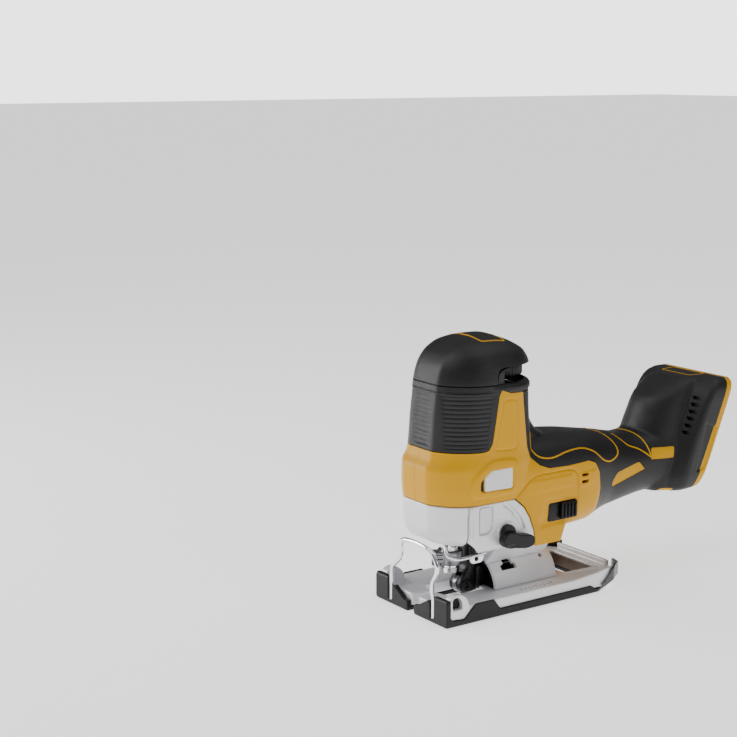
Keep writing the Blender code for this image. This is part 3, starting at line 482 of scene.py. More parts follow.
# length, underside, top, half width, squareness of the belly and the handle
TAIL = [(-34, 50, 112, 33, 3.4), (-12, 42.8, 116.5, 36, 3.6),
        (22, 42.8, 116, 36.6, 3.6), (31, 46.6, 115.4, 36.6, 3.4),
        (58, 47, 113.2, 35, 3), (72, 49, 111.4, 30.5, 2.6),
        (86, 51.5, 109.2, 27.5, 2.4), (116, 56.5, 104, 26.5, 2.4),
        (134, 58.8, 106, 28, 2.6), (150, 61, 112, 29, 2.8)]
# height, battery face, side edge, nose, half width at the battery face, half width at the edge
FOOT = [(59.5, 153, 137, 126, 31, 25), (63, 161.5, 137.5, 123, 36, 27.5),
        (73, 167, 139, 122, 38.4, 28), (100, 178.1, 147, 124, 39, 26),
        (116, 184.7, 154, 129.6, 39, 25), (127, 189, 159.4, 135, 39, 24.4),
        (134, 191.6, 163.6, 144, 38.6, 23.6), (139, 193.2, 168, 153, 37, 22),
        (142.2, 193.6, 172, 161, 33, 18.5)]
# height, rear face and half width of the fillet down the back of the barrel into the handle
SPINE = [(108, 40, 20), (116, 31, 22), (122, 22, 22.5), (132, 15.5, 22),
         (144, 12.2, 21), (152, 9, 19)]
RIM_DEPTH = 6.5
FOOT_LEAN = 0.411


def filled_in(rows, step):
    """A station table sampled evenly, by monotone cubics between its rows."""
    data = np.array(rows, float)
    at = data[:, 0]
    gaps = np.diff(at)[:, None]
    slopes = np.diff(data[:, 1:], axis=0) / gaps
    tangents = np.zeros_like(data[:, 1:])
    tangents[0], tangents[-1] = slopes[0], slopes[-1]
    same = slopes[:-1] * slopes[1:] > 0
    total = np.where(same, slopes[:-1] + slopes[1:], 1)
    tangents[1:-1] = np.where(same, 2 * slopes[:-1] * slopes[1:] / total, 0)
    count = max(int(round((at[-1] - at[0]) / step)), 2)
    out = []
    for x in np.linspace(at[0], at[-1], count + 1):
        k = min(max(int(np.searchsorted(at, x, side="right")) - 1, 0), len(at) - 2)
        width = at[k + 1] - at[k]
        t = (x - at[k]) / width
        low, high = data[k, 1:], data[k + 1, 1:]
        row = ((2 * t ** 3 - 3 * t ** 2 + 1) * low + (t ** 3 - 2 * t ** 2 + t) * width * tangents[k]
               + (3 * t ** 2 - 2 * t ** 3) * high + (t ** 3 - t ** 2) * width * tangents[k + 1])
        out.append((float(x), *[float(v) for v in row]))
    return out


def half_ring(front, blend, width, rear, inset, steps=16):
    front, width, rear = front + inset, width - inset, rear - inset
    facet = min(FACET, width * 0.55)
    reach = (width - facet) / (1 - sin(BLEND_START))
    depth = (blend - front) / cos(BLEND_START)
    points = [(facet * i / 4, front) for i in range(4)]
    for i in range(steps + 1):
        turn = BLEND_START + (pi / 2 - BLEND_START) * i / steps
        points.append((width - reach + reach * sin(turn), blend - depth * cos(turn)))
    round_depth = min(30, (rear - blend) * 0.8)
    for i in range(steps + 1):
        turn = pi / 2 * i / steps
        across = width * cos(turn) ** 0.86
        points.append((across, rear - round_depth + round_depth * sin(turn) ** 0.86))
    return points


def mirrored(half):
    return half + [(-x, y) for x, y in reversed(half[1:-1])]


def barrel_solid(name, inset, step=1.2):
    rings = []
    for z, front, blend, width, rear in filled_in(BARREL, step):
        level = z - inset if z > 180 else z
        rings.append([(x, y, level) for x, y in mirrored(half_ring(front, blend, width, rear, inset))])
    return loft(name, rings)


def oval(across, along, power, count):
    """Points of an oval that is squarer the smaller its power."""
    shaped = lambda value: abs(value) ** power * copysign(1, value)
    return [(across * shaped(cos(t)), along * shaped(sin(t))) for t in turns(count)]


def tail_solid(name, inset):
    rings = []
    for y, low, high, width, square in filled_in(TAIL, 1.5):
        low, high = low + inset, high - inset
        rings.append([(x, y, (low + high) / 2 + z)
                      for x, z in oval(width - inset, (high - low) / 2, 2 / square, 72)])
    return loft(name, rings)


def spine_solid(name, inset):
    """The fillet behind the barrel, in ovals about y = -12."""
    return loft(name, [[(x, y - 12, z) for x, y in oval(width - inset, rear + 12 - inset, 0.8, 40)]
                       for z, rear, width in filled_in(SPINE, 1.5)])


def foot_line(z):
    return 165 + (z - 68) * FOOT_LEAN


def foot_solid(name, inset, overrun):
    rings = []
    for z, rear, edge, nose, rear_width, edge_width in filled_in(FOOT, 1.2):
        bottom, top = FOOT[0][0], FOOT[-1][0]
        level = bottom + inset + (z - bottom) * (top - bottom - 2 * inset) / (top - bottom)
        half = [(0, nose + inset)]
        for i in range(1, 13):
            turn = pi / 2 * i / 12
            half.append(((edge_width - inset) * sin(turn),
                         edge + inset - (edge - nose) * cos(turn)))
        half += [(rear_width - inset - 1.5, edge + 7), (rear_width - inset, edge + 10),
                 (rear_width - inset, rear + overrun), (0, rear + overrun)]
        rings.append([(x, y, level) for x, y in mirrored(half)])
    return loft(name, rings)


# ---- relief on the form ----
def distance_line(points, route):
    """Distance of points to an open route in a plane."""
    best = np.full(len(points), 1e9)
    ends = np.array(route, float)
    for a, b in zip(ends, ends[1:]):
        edge = b - a
        along = np.clip(((points - a) @ edge) / max(edge @ edge, 1e-9), 0, 1)
        best = np.minimum(best, np.linalg.norm(points - a - along[:, None] * edge, axis=1))
    return best


def distance_inside(points, outline):
    """Signed distance of points to an outline in a plane, negative inside."""
    inside = np.zeros(len(points), bool)
    ends = np.array([*outline, outline[0]], float)
    for a, b in zip(ends, ends[1:]):
        crosses = (a[1] > points[:, 1]) != (b[1] > points[:, 1])
        rise = b[1] - a[1] if abs(b[1] - a[1]) >= 1e-12 else 1e-12
        inside ^= crosses & (points[:, 0] < (b[0] - a[0]) * (points[:, 1] - a[1]) / rise + a[0])
    best = distance_line(points, ends)
    return np.where(inside, -best, best)


def ease(value, start, end):
    t = np.clip((value - start) / (end - start), 0, 1)
    return t * t * (3 - 2 * t)


CASE_ARC = [(-17.5, 80), (-9, 73), (-3.5, 64.5), (0.5, 54), (2.6, 43), (2.8, 20)]
GRIP_EDGE = [(62.5, 44), (63.5, 61), (64.6, 75), (63, 87), (58.5, 94.5), (52, 97),
             (30, 96.6), (13.6, 97.2), (5, 100.5), (-1.6, 106.5), (-5.6, 115.4), (-10.4, 154.2)]
COLUMN_PANEL = [(-28.2, 151), (-15.6, 150.4), (-16, 115.6), (-36.2, 116.6)]
BADGE = [(-49.4, 88.9), (-20.3, 88.3), (-20.3, 103.8), (-39.5, 103.8), (-49.4, 97.4)]
BADGE_FRAME = [(-56.5, 84.6), (-15.4, 84), (-15.4, 110), (-40.5, 111.4), (-57, 99)]
GROOVE = [(-17.4, 79.6), (-3.6, 91.6), (2.5, 93.8), (29.4, 94), (36.5, 93.2), (40, 90), (41, 56)]
LABEL = [(-2.6, 81), (35.6, 81.6), (34.6, 90.6), (-3.4, 90.4)]
SWITCH_WELL = [(13.2, 57.8), (39.6, 57.8), (39.6, 71.7), (13.2, 71.7)]
SWITCH_FLARE = [(4.5, 53.6), (40.2, 55), (40.2, 75.6), (8, 77)]
VENT_LEDGE = [(42.5, 78.5), (58, 79.5), (60, 90.8), (42.5, 90.4)]
RAIL_NOTCH = [(164.9, 111), (177.2, 107.2), (171.6, 90), (166, 75), (156.6, 73.6)]


def relief(co, normal):
    """How far the moulded panels, frames and grooves of the sides stand out of the plain form."""
    side = co[:, 1:] / MM
    facing = ease(abs(normal[:, 0]), 0.35, 0.75)
    near = lambda outline, reach: 1 - ease(distance_inside(side, outline), -reach, 0)
    lift = -0.42 * (1 - ease(abs(distance_inside(side, rounded(COLUMN_PANEL, 4))), 0.25, 1))
    lift += 1 * near(rounded(BADGE_FRAME, 7), 1.8)
    lift -= 1.5 * near(rounded(BADGE, 3), 1)
    lift -= 0.75 * (1 - ease(distance_line(side, GROOVE), 0.25, 1))
    lift += 0.45 * near(rounded(LABEL, 1.5), 0.9)
    lift -= 0.7 * near(rounded(SWITCH_FLARE, 4), 3.2)
    lift += 0.5 * near(rounded(VENT_LEDGE, 2.5), 1.6)
    lift -= 1.1 * near(rounded(RAIL_NOTCH, 1.5), 1.1)
    return lift * facing


def push_out(obj, lift):
    """Moves a surface along its normals by lift(points, normals) millimetres."""
    mesh = obj.data
    co, normal = np.empty(len(mesh.vertices) * 3), np.empty(len(mesh.vertices) * 3)
    mesh.vertices.foreach_get("co", co)
    mesh.vertex_normals.foreach_get("vector", normal)
    co, normal = co.reshape(-1, 3), normal.reshape(-1, 3)
    co += normal * (lift(co, normal) * MM)[:, None]
    mesh.vertices.foreach_set("co", co.ravel())
    mesh.update()
    return obj


# ---- shells ----
YELLOW = [(-90, RING_Z), *[(y + 0.4, z + 0.3) for y, z in CASE_ARC], *GRIP_EDGE[:-1],
          (-10.4, 154.4), (-22, 154.9), (-30, 157.8), (-32, 154.2), (-37.8, 121.6), (-41.1, 117.1),
          (-46, SLEEVE_Z), (-90, SLEEVE_Z)]
STRIPES = [[(0.5, 124), (1, 116.9), (1.9, 110.9), (6.1, 106), (16.9, 103.9), (32, 106),
            (47.6, 106), (59, 102.3), (70.6, 94), (78.8, 91.5), (86.9, 93.6), (89.8, 98.6),
            (86.2, 107.3), (76, 116.5)],
           [(86, 114), (89, 111.6), (96.3, 106.2), (102.5, 98.9), (112.2, 94.8), (122, 87.9)]]
WINDOWS = [[(81.5, 71.2), (115.4, 80), (109.4, 86.4), (86.9, 81.6), (81.6, 76)],
           [(121, 86.2), (142.6, 85.2), (143.6, 93.8), (123.4, 94.5)],
           [(132, 50), (141.5, 50), (141.5, 62.2), (132, 62.2)]]


STRIPE_WIDTH = 1.15


def grip_region():
    edge = [(y + 0.3, z + (0.3 if y > 0 else 0)) for y, z in GRIP_EDGE[:-1]]
    low, high = foot_line(20) - RIM_DEPTH - 0.3, foot_line(160) - RIM_DEPTH - 0.3
    return edge + [(-10, 154), (60, 154), (60, 125), (110, 125), (120, 160),
                   (high, 160), (low, 20), (62.8, 20)]


def rim_region():
    low, high = foot_line(20), foot_line(160)
    return [(low - RIM_DEPTH, 20), (low + 6, 20), (high + 6, 160), (high - RIM_DEPTH, 160)]


def make_shells():
    """The yellow housing, the foot's rim, the rubber grip and its inlays; gives back the inside."""
    skirt = rounded([(-2, 40), (25.6, 40), (27.2, 44.5), (31.6, 56), (33, 68), (-2, 68)], 2)
    form = merged("form", barrel_solid("barrel", 0), tail_solid("tail", 0), spine_solid("spine", 0),
                  foot_solid("foot", 0, 0),
                  *[side_plate("skirt", skirt, side, 28, 35.4, 0.8) for side in SIDES])
    push_out(soften(form, 0.85, 7), relief)
    room = join(barrel_solid("room", WALL, 3), tail_solid("tail", WALL), foot_solid("foot", 2, 3),
                spine_solid("spine", WALL))

    yellow = common(duplicate(form, "housing_shell"), side_prism("shown", YELLOW))
    cut(yellow, room, keep=True)
    for low, high in ((81.6, 84), (86.6, 88.8)):
        slot = [(43.8, low), (50, low), (50.6, high), (43.6, high)]
        cut(yellow, side_prism("vent", rounded(slot, 0.8)))
    cut(yellow, side_plate("track_hole", rounded(SWITCH_WELL, 2.2), 1, 30, 60),
        block("case_room", (-60, -40, 10), (60, 26.3, 42.6)),
        block("parting", (-0.12, -100, 0), (0.12, 250, 250)))
    finish(yellow, "yellow_plastic", stands_for=("housing_left", "housing_right"))

    rim = common(duplicate(form, "foot_rim"), side_prism("rim", rim_region()))
    finish(cut(rim, room, keep=True), "yellow_plastic")

    grip = common(duplicate(form, "grip_shell"), side_prism("covered", grip_region()))
    cut(grip, room, keep=True)
    for outline in WINDOWS:
        cut(grip, side_prism("window", rounded(outline, 1.6)))
    for z in range(104, 130, 5):
        y = 147 + (z - 100) * 0.455
        for side in SIDES:
            low, high = sorted((side * 26.6, side * 50))
            cut(grip, block("vent", (low, y + 1.6, z - 1.5), (high, y + 4.2, z + 1.1)))
    finish(grip, "black_rubber", stands_for=("grip_left", "grip_right"))

    low = push_out(duplicate(form, "low_form"), lambda co, normal: np.full(len(co), -0.35))
    panes = [common(duplicate(low, "pane"), side_prism("window", outline)) for outline in WINDOWS]
    finish(cut(merged("handle_inlays", *panes), room, keep=True), "yellow_plastic")

    tree = surface_tree(form)
    lines = [handle_stripe(tree, route) for route in STRIPES]
    lines.append(flat_label(tree, [(-19, 187.6), (14, 187.6), (12.5, 173), (-17.5, 173)], 170, 1.1))
    finish(merged("pinstripes", *lines), "yellow_plastic")
    remove(low, form)
    return room


def handle_stripe(tree, route):
    """A thin yellow line up one flank, over the handle's top and down the other flank."""
    flank = []
    for y, z in smooth_route(route):
        place, _, _, _ = tree.ray_cast(Vector((90, y, z)) * MM, Vector((-1, 0, 0)))
        if place is not None and place.x / MM > 5:
            flank.append((y, z))
            x_end = place.x / MM
    y_end = flank[-1][0]
    rays = [((90, y, z), (-1, 0, 0)) for y, z in flank]
    back = [((-90, y, z), (1, 0, 0)) for y, z in flank]
    line = lambda way: draped_line("stripe", tree, way, STRIPE_WIDTH, 0.24)
    if y_end <= 30:
        return merged("stripe", line(rays), line(back))
    for i in range(1, 16):
        turn = pi * i / 16
        rays.append(((x_end * cos(turn), y_end - 2.5 * sin(turn), 200), (0, 0, -1)))
    return line(rays + back[::-1])


def flat_label(tree, corners, height, width):
    """A thin outline of a blank label, seen from above."""
    loop = [Vector(p) for p in rounded(corners, 3)]
    path = []
    for here, after in zip(loop, loop[1:] + loop[:1]):
        count = max(int((after - here).length), 1)
        path += [here.lerp(after, i / count) for i in range(count)]
    rays = [((p.x, p.y, height + 40), (0, 0, -1)) for p in path]
    return draped_line("label", tree, rays, width, 0.2, closed=True)


# ---- sleeve, cap and dial ----
def band(name, low, high, step, lift, round_low=0):
    """A stretch of the barrel in fine rings, its skin moved out by lift(x, y, z)."""
    rows = filled_in(BARREL, 0.5)
    levels = np.array([r[0] for r in rows])
    table = np.array([r[1:] for r in rows])
    rings = []
    for z in np.linspace(low, high, int((high - low) / step) + 1):
        front, blend, width, rear = (np.interp(z, levels, table[:, k]) for k in range(4))
        ring = mirrored(half_ring(front, blend, width, rear, 0, 30))
        points = [Vector(p) for p in ring]
        out = []
        for i, here in enumerate(points):
            way = points[(i + 1) % len(points)] - points[i - 1]
            normal = Vector((way.y, -way.x)).normalized()
            rim = 0
            if round_low and z - low < round_low:
                rim -= round_low - sqrt(max(round_low ** 2 - (round_low - (z - low)) ** 2, 0))
            moved = here + normal * (lift(here.x, here.y, z) + rim)
            out.append((moved.x, moved.y, z))
        rings.append(out)
    return loft(name, rings)


def step_up(value, start, end):
    t = min(max((value - start) / (end - start), 0), 1)
    return t * t * (3 - 2 * t)


def window(value, low, high, soft):
    """One between low and high, fading out over soft at both ends."""
    return step_up(value, low - soft, low) * (1 - step_up(value, high, high + soft))


SLEEVE_FOOT, SLEEVE_TOP = SLEEVE_Z + GAP, SEAM_Z - GAP
SCOOP_LOW, SCOOP_HIGH = 160.6, 170.8


def sleeve_lift(x, y, z):
    """The sleeve's ribbed panels, the line above them and the scoop for the dial."""
    edge = -38.5 + (z - SLEEVE_FOOT) * 0.161
    rib = abs(sin(pi * (z - 119.4) / 3.05)) ** 0.4
    height = window(z, 119.6, 155.4, 0.5)
    flank = window(y, -67, edge - 6, 0.8) if abs(x) > 14.5 else 0
    facet = window(x, -7.8, 7.8, 0.8) if y < -60 else 0
    lift = -height * max(flank, facet) * (0.85 - 0.5 * rib)
    lift -= 0.45 * window(z, 157.1, 157.5, 0.3) * (1 - step_up(y, -40, -36))
    rear = step_up(y, -30.5, -24.5)
    lift -= 3.6 * rear * window(z, SCOOP_LOW + 1.6, SCOOP_HIGH - 1.6, 1.6)
    lift += 1.1 * rear * window(z, 157, 158.8, 2)
    return lift


def make_sleeve(room):
    sleeve = band("barrel_sleeve_fine", SLEEVE_FOOT, 172.2, 0.36, sleeve_lift, round_low=0.6)
    keep = rounded([(-90, 100), (-46.5, 100), (-46, 116.2), (-41.4, 117.8), (-38.4, 121.8), (-32.6, 153.4),
                    (-31.4, 157.4), (-29, 157.8), (-22.4, 155.4), (-10, 154.8), (40, 154.6), (40, 180),
                    (-25.6, 172.2), (-29.9, 170.6), (-31.8, 167.4), (-32.2, SLEEVE_TOP),
                    (-90, SLEEVE_TOP)], 1.2)
    common(sleeve, side_prism("sleeve_region", keep))
    cut(sleeve, room, keep=True)
    cut(sleeve, side_prism("dial_slot", rounded([(-22.5, 162.6), (30, 162.6), (30, 174), (-22.5, 174)], 2.5)))
    finish(sleeve, "black_rubber", stands_for=("barrel_sleeve",))


def make_cap(room):
    """The dome, the ring inside its seam and the outline of its blank label."""
    cap = band("top_cap_fine", SEAM_Z + 0.1, 192, 0.5, lambda x, y, z: 0, round_low=0.8)
    recess = [(-33.2, 150), (-33.2, 168), (-31.2, 171.8), (-26, 173.1), (40, 173.3), (40, 150)]
    cut(cap, side_prism("recess", rounded(recess, 1.5)))
    tree = surface_tree(cap)
    finish(cut(cap, room, keep=True), "black_rubber", stands_for=("top_cap",))
    spigot = band("seam_ring", SEAM_Z - 3, SEAM_Z + 3, 0.6, lambda x, y, z: -1.3)
    common(spigot, side_prism("spigot_region", [(-90, 150), (-33.8, 150), (-33.8, 175), (-90, 175)]))
    finish(cut(spigot, room, keep=True), "black_plastic")
    corners = [(-18, -35), (18, -35), (20, -15.5), (-20, -15.5)]
    finish(flat_label(tree, corners, 200, 1.5), "yellow_plastic").name = "cap_label_line"


DIAL_TEETH, DIAL_RADIUS, DIAL_Y, KNURL = 44, 22.4, -13, 0.55


def make_dial():
    """The speed wheel: a knurled drum that stands out of its slot."""
    rings = []
    for z, inset in ((162.5, 1), (163, 0.3), (163.7, 0), (171.2, 0), (171.9, 0.3), (172.4, 1)):
        ring = []
        for turn in turns(DIAL_TEETH * 6):
            reach = DIAL_RADIUS + KNURL * max(0, cos(DIAL_TEETH * turn)) ** 0.6 - inset
            ring.append((reach * cos(turn), DIAL_Y + reach * sin(turn), z))
        rings.append(ring)
    finish(loft("speed_dial_fine", rings), "black_plastic", body="speed_dial", stands_for=("speed_dial",))


# ---- castings ----
NOSE = [(50.2, -62, -49, 26), (51.6, -68.5, -48, 30.5), (55, -72.6, -47, 34),
        (61, -75.2, -46, 35.4), (80, -76.2, -46, 35.6)]
BEVEL_Z = 10
SADDLE_RADIUS = 24.6
CASE_FRONT = -55.9
LEVER_AXIS = (-25, 57.5)


def make_nose():
    rings, hollow = [], []
    for z, front, blend, width in filled_in(NOSE, 0.8):
        rings.append([(x, y, z - 0.45) for x, y in mirrored(half_ring(front, blend, width, -20, 0, 24))])
        thin = half_ring(front, blend, width, -20, 3, 12)
        level = z + 3 * (1 - step_up(z, 53, 61)) + step_up(z, 76, 80)
        hollow.append([(x, y, level) for x, y in mirrored(thin)])
    cover = loft("front_cover_fine", rings)
    cut(cover, loft("cover_room", hollow), block("behind", (-60, -56.4, 20), (60, 0, 100)))
    cut(cover, block("clamp_opening", (-17, -63, 40), (17, -45, 57), 2))
    soften(cover, 0.6, 3, 0.5)
    finish(cover, "cast_aluminium", stands_for=("front_cover",), angle=50)


def make_case():
    half = [(35.5, 95), (35.5, 47.4), (25.1, 39.9), (18.6, 32.6)]
    vault = arc((0, BEVEL_Z), SADDLE_RADIUS + 0.5, 128.5, 51.5, 41)
    case = plate("gear_case_fine", [[(-x, z) for x, z in half] + vault + half[::-1]], "Y", CASE_FRONT, 25.6)
    top = RING_Z - 2 * GAP
    area = [(CASE_FRONT, top), (CASE_FRONT, 54), (-50.4, 49.6), (-45.6, 43.6), (-36.6, 37.6), (-28.1, 30),
            (-24, 20), (26, 20), (26, 42), (2.3, 42), (0.1, 54), (-3.9, 64.5), (-9.4, 73), (-17.9, top)]
    common(case, side_prism("case_area", area))
    panel = [(-48.3, 78.5), (-36, 78.5), (-36, 62), (-39.5, 58.2), (-48.3, 58.2)]
    arch = smooth_route([(-25.5, 79), (-17.6, 73), (-11, 65), (-7.4, 58)])
    groove = [tuple(p) for p in arch] + [(p.x - 2.9, p.y - 1.6) for p in reversed(arch)]
    for side in SIDES:
        cut(case, side_plate("panel", rounded(panel, 2.5), side, 33.5, 60),
            side_plate("arch_groove", groove, side, 34.3, 60))
        join(case, axle("boss", side * 30, side * 36, LEVER_AXIS, 7.2, 48))
        cut(case, axle("boss_ring", side * 35.2, side * 40, (-33.6, 66.6), 2.2, 24))
        low, high = sorted((side * 33.5, side * 36.2))
        join(case, block("flange", (low, CASE_FRONT, 56), (high, -54, 79)))
    cut(case, block("case_room", (-31.5, -60, 46.4), (31.5, 40, 100)),
        block("clamp_room", (-31.5, -60, 20), (31.5, -26.6, 60)),
        axle("lever_bore", 25, 45, LEVER_AXIS, 3.4, 32), rod("bolt_bore", (0, -8, 20), (0, -8, 60), 3.4, 32))
    finish(soften(case, 0.6, 3, 0.5), "cast_aluminium", stands_for=("gear_case",), angle=50)
    pane = rounded([(-47, 77.2), (-37.4, 77.2), (-37.4, 63), (-40.2, 59.6), (-47, 59.6)], 2.2)
    panes = [side_plate("pane", pane, side, 33.6, 34.7, 0.4) for side in SIDES]
    finish(merged("case_panes", *panes), "silver_plastic")
    marks = []
    for i, turn in enumerate((128, 106, 84, 62)):
        way = Vector((cos(radians(turn)), sin(radians(turn))))
        start, stop = Vector(LEVER_AXIS) + way * 11, Vector(LEVER_AXIS) + way * (13.2 + 0.5 * i)
        marks.append(rod("mark", (35.4, *start), (35.4, *stop), 0.42, 12, 0.1))
    finish(merged("orbital_marks", *marks), "cast_aluminium")


def ring_section(outer, inner, start, end, count):
    """A stretch of ring about the bevel axis."""
    centre = (0, BEVEL_Z)
    return arc(centre, outer, start, end, count) + arc(centre, inner, end, start, count)


def make_saddle():
    """The bevel saddle with its slot, and near-black sheets of painted shade that darken the view through it.
    """
    r = SADDLE_RADIUS
    base = degrees(asin((12.4 - BEVEL_Z) / r))
    saddle = plate("saddle_fine", [ring_section(r, r - 2.6, base, 180 - base, 65)], "Y", -24, 32, 0.4)
    low, high = 34, 146
    cut(saddle, plate("bevel_slot", [ring_section(r + 3, r - 6, low, high, 33)], "Y", -12.2, -3.8))
    for start in (low, high - 11):
        end = ring_section(r + 3, r - 6, start, start + 11, 9)
        cut(saddle, plate("slot_end", [end], "Y", -15.4, -1.6, 0.6))
    for side in SIDES:
        cut(saddle, rod("peg_hole", (side * 10, 22.5, 24), (side * 30, 22.5, 34.5), 1.7, 24))
    finish(saddle, "cast_aluminium", body="shoe", stands_for=("saddle_bracket",))

    # Painted shade: a near-black sheet inside the saddle's arch, where the arch lies in shadow.
    inside = r - 2.66
    shade_sheet = plate("saddle_painted_shade", [ring_section(inside, inside - 0.22, 7, 173, 49)], "Y", -23.4, 31.4)
    room = ring_section(inside + 3, inside - 6, low - 1, high + 1, 33)
    cut(shade_sheet, plate("painted_shade_slot", [room], "Y", -12.4, -3.6))
    finish(shade_sheet, "dark_plastic", body="shoe", look=SHADOW)
    # Painted shade: a near-black plate on the shoe floor under the arch, where shadow falls.
    corners = rounded([(-20.6, -23), (20.6, -23), (20.6, 31), (-20.6, 31)], 1)
    finish(plate("saddle_floor_shade", [corners], "Z", 11.9, 12.2), "dark_plastic", body="shoe", look=SHADOW)


# ---- shoe ----
HALF_WIDTH = 41
FRONT, REAR = -80.5, 80.2
BLADE_SLOT = [(-3.4, -61), (-15.5, -57), (-15.5, -27), (15.5, -27), (15.5, -57), (3.4, -61)]


def make_shoe():
    w = HALF_WIDTH
    floor = [(-w, -76.4), (-3.4, -76.4), *BLADE_SLOT, (3.4, -76.4), (w, -76.4), (w, 66), (w - 3.5, 75),
             (w - 12, REAR), (-w + 12, REAR), (-w + 3.5, 75), (-w, 66)]
    hole = rounded([(-22, 41), (22, 41), (24, 70), (-24, 70)], 3)
    shoe = plate("shoe_plate_fine", [rounded(floor, 2), hole[::-1]], "Z", 3.3, 12, 0.5)
    wall = rounded([(-62, 6), (-61, 12.9), (34, 12.9), (56, 14.6), (68, 16.6), (74.4, 17.2),
                    (76, 6)], 1.5)
    for side in SIDES:
        join(shoe, side_plate("rim", wall, side, w - 2.4, w, 0.4))
        hook = rounded([(-76.4, 4), (-58.5, 4), (-60, 13), (-62.6, 18.6), (-67, 22), (-72, 22.2),
                        (-76.4, 19.5)], 2)
        join(shoe, side_plate("hook_wall", hook, side, w - 7, w, 0.4))
        pocket = rounded([(-74.6, 11.4), (-66.2, 11.4), (-66.4, 16.8), (-69.6, 20.6), (-74.6, 19.6)], 1.6)
        cut(shoe, side_plate("pocket", pocket, side, w - 5.6, w + 3))
        cut(shoe, block("front_well", (side * 22, -74, 5), (side * (w - 7.2), -61, 30), 1))
        cut(shoe, block("groove", (side * 17.5, -58, 11.2), (side * 18.3, 36, 13)))
        cut(shoe, plate("corner", [[(side * 42.5, 60), (side * 42.5, 90), (side * 26, 90),
                                    (side * 28.4, 80.8), (side * 37.8, 76.2), (side * 41.4, 66.5)]],
                        "Z", 0, 30))
    join(shoe, plate("rear_wall", [rounded([(-27, 77.6), (27, 77.6), (28, REAR), (-28, REAR)], 0.8)], "Z",
                     10, 16.6, 0.4))
    join(shoe, plate("hole_rim", [rounded([(-24.5, 38.6), (24.5, 38.6), (26.8, 72.4), (-26.8, 72.4)], 4),
                                  hole[::-1]], "Z", 10, 13, 0.4))
    soften(shoe, 0.6, 2, 0.5)
    finish(shoe, "cast_aluminium", body="shoe", stands_for=("shoe_plate",), angle=50)

    # Painted shade: near-black sheets on the inner walls of the side pockets, where they lie in shadow.
    wall = rounded([(-74.2, 11.8), (-66.6, 11.8), (-66.8, 16.6), (-69.8, 20.1), (-74.2, 19.2)], 1.5)
    shade_sheet = [side_plate("shade_sheet", wall, side, w - 5.55, w - 3.2, 0.2) for side in SIDES]
    finish(merged("pocket_painted_shades", *shade_sheet), "dark_plastic", body="shoe", look=SHADOW)

    marks = []
    for i in range(9):
        long = 3.4 if i % 4 == 0 else 2
        marks.append(block("mark", (34.6 - long, -8 + 3.4 * i, 11.9), (34.6, -7.5 + 3.4 * i, 12.12)))
    finish(merged("shoe_marks", *marks), "dark_plastic", body="shoe", angle=0)


def make_sole():
    w = HALF_WIDTH
    outline = [(-w - 0.6, FRONT), (-3.4, FRONT), *BLADE_SLOT, (3.4, FRONT), (w + 0.6, FRONT),
               (w + 0.6, 58), (w - 5, 69),
               (w - 14, 74), (-w + 14, 74), (-w + 5, 69), (-w - 0.6, 58)]
    hole = rounded([(-22, 40), (22, 40), (24, 68), (-24, 68)], 3)
    sole = plate("sole_cover_fine", [rounded(outline, 1.6), hole[::-1]], "Z", 0, 3.1, 0.5)
    cheek = [(FRONT, 0.6), (50, 0.6), (60, 2.4), (60, 3.4), (54.4, 3.6), (50, 6.3), (-33.8, 6.1),
             (-39.6, 13.9), (-55.8, 13.9), (-65, 4.6), (-76, 5.4), (FRONT, 18)]
    for side in SIDES:
        join(sole, side_plate("cheek", rounded(cheek, 1), side, w + 0.15, w + 0.95, 0.2))
        post = rounded([(FRONT, 0.6), (-76.8, 0.6), (-76.8, 19.2), (FRONT + 0.8, 19.2), (FRONT, 17.5)], 0.8)
        join(sole, side_plate("post", post, side, 26.6, w + 0.8, 0.6))
        ramp = [(side * 3.6, 0.8), (side * 22.6, 0.8), (side * 22.6, 13.6), (side * 19.5, 14.6),
                (side * 8, 7.6), (side * 3.6, 7.2)]
        join(sole, plate("ramp", [rounded(ramp if side > 0 else ramp[::-1], 1.2)], "Y", FRONT, -76.8, 0.4))
        inner = [(side * 17, 1), (side * 26, 1), (side * 26, 11), (side * 17, 8)]
        join(sole, plate("inner_web", [inner if side > 0 else inner[::-1]], "Y", -78.4, -76.9))
    soften(sole, 0.5, 2, 0.45)
    finish(sole, "black_plastic", body="shoe", stands_for=("sole_cover",), angle=50)


def make_window_painted_shade():
    # Painted shade: a dark brown sheet round the walls of the shoe's rear window, where the walls lie in
    # shadow.
    outer = rounded([(-21.7, 41.3), (21.7, 41.3), (23.6, 69.7), (-23.6, 69.7)], 3)
    inner = rounded([(-20.2, 42.8), (20.2, 42.8), (22, 68.2), (-22, 68.2)], 2)
    shade_sheet = plate("window_painted_shade", [outer, inner[::-1]], "Z", 3.2, 11.4)
    brown = surface("painted_shade_brown", (0.060, 0.036, 0.018), 0.4, grain=(900, 0.1), vary=0.35, streak=(3, 1, 1))
    finish(shade_sheet, "dark_plastic", body="shoe", look=brown)


def make_clips():
    w = HALF_WIDTH
    for name, side in (("corner_clip_left", 1), ("corner_clip_right", -1)):
        path = [(w - 13, 84.6), (w - 3.6, 80.6), (w + 1.8, 71.2), (w + 1.9, 60.4), (w + 0.7, 60),
                (w + 0.6, 66), (w - 1.2, 73.6), (w - 4.4, 77.8), (w - 12.6, 81.4)]
        outline = [(side * x, y) for x, y in path]
        outline = rounded(outline if side > 0 else outline[::-1], 1.2)
        clip = plate(name + "_fine", [outline], "Z", 3.2, 18.2, 0.5)
        shape = [(55, 0), (64, 4), (74, 8.4), (86, 8.8), (86, 17), (76, 18.4), (70, 15),
                 (62, 6.4), (55, 5.4)]
        common(clip, side_prism("clip_side", rounded(shape, 1.5)))
        look = FINISHES["smoky_plastic"] if side > 0 else FINISHES["black_plastic"]
        finish(clip, "smoky_plastic", body="shoe", stands_for=(name,), look=look)


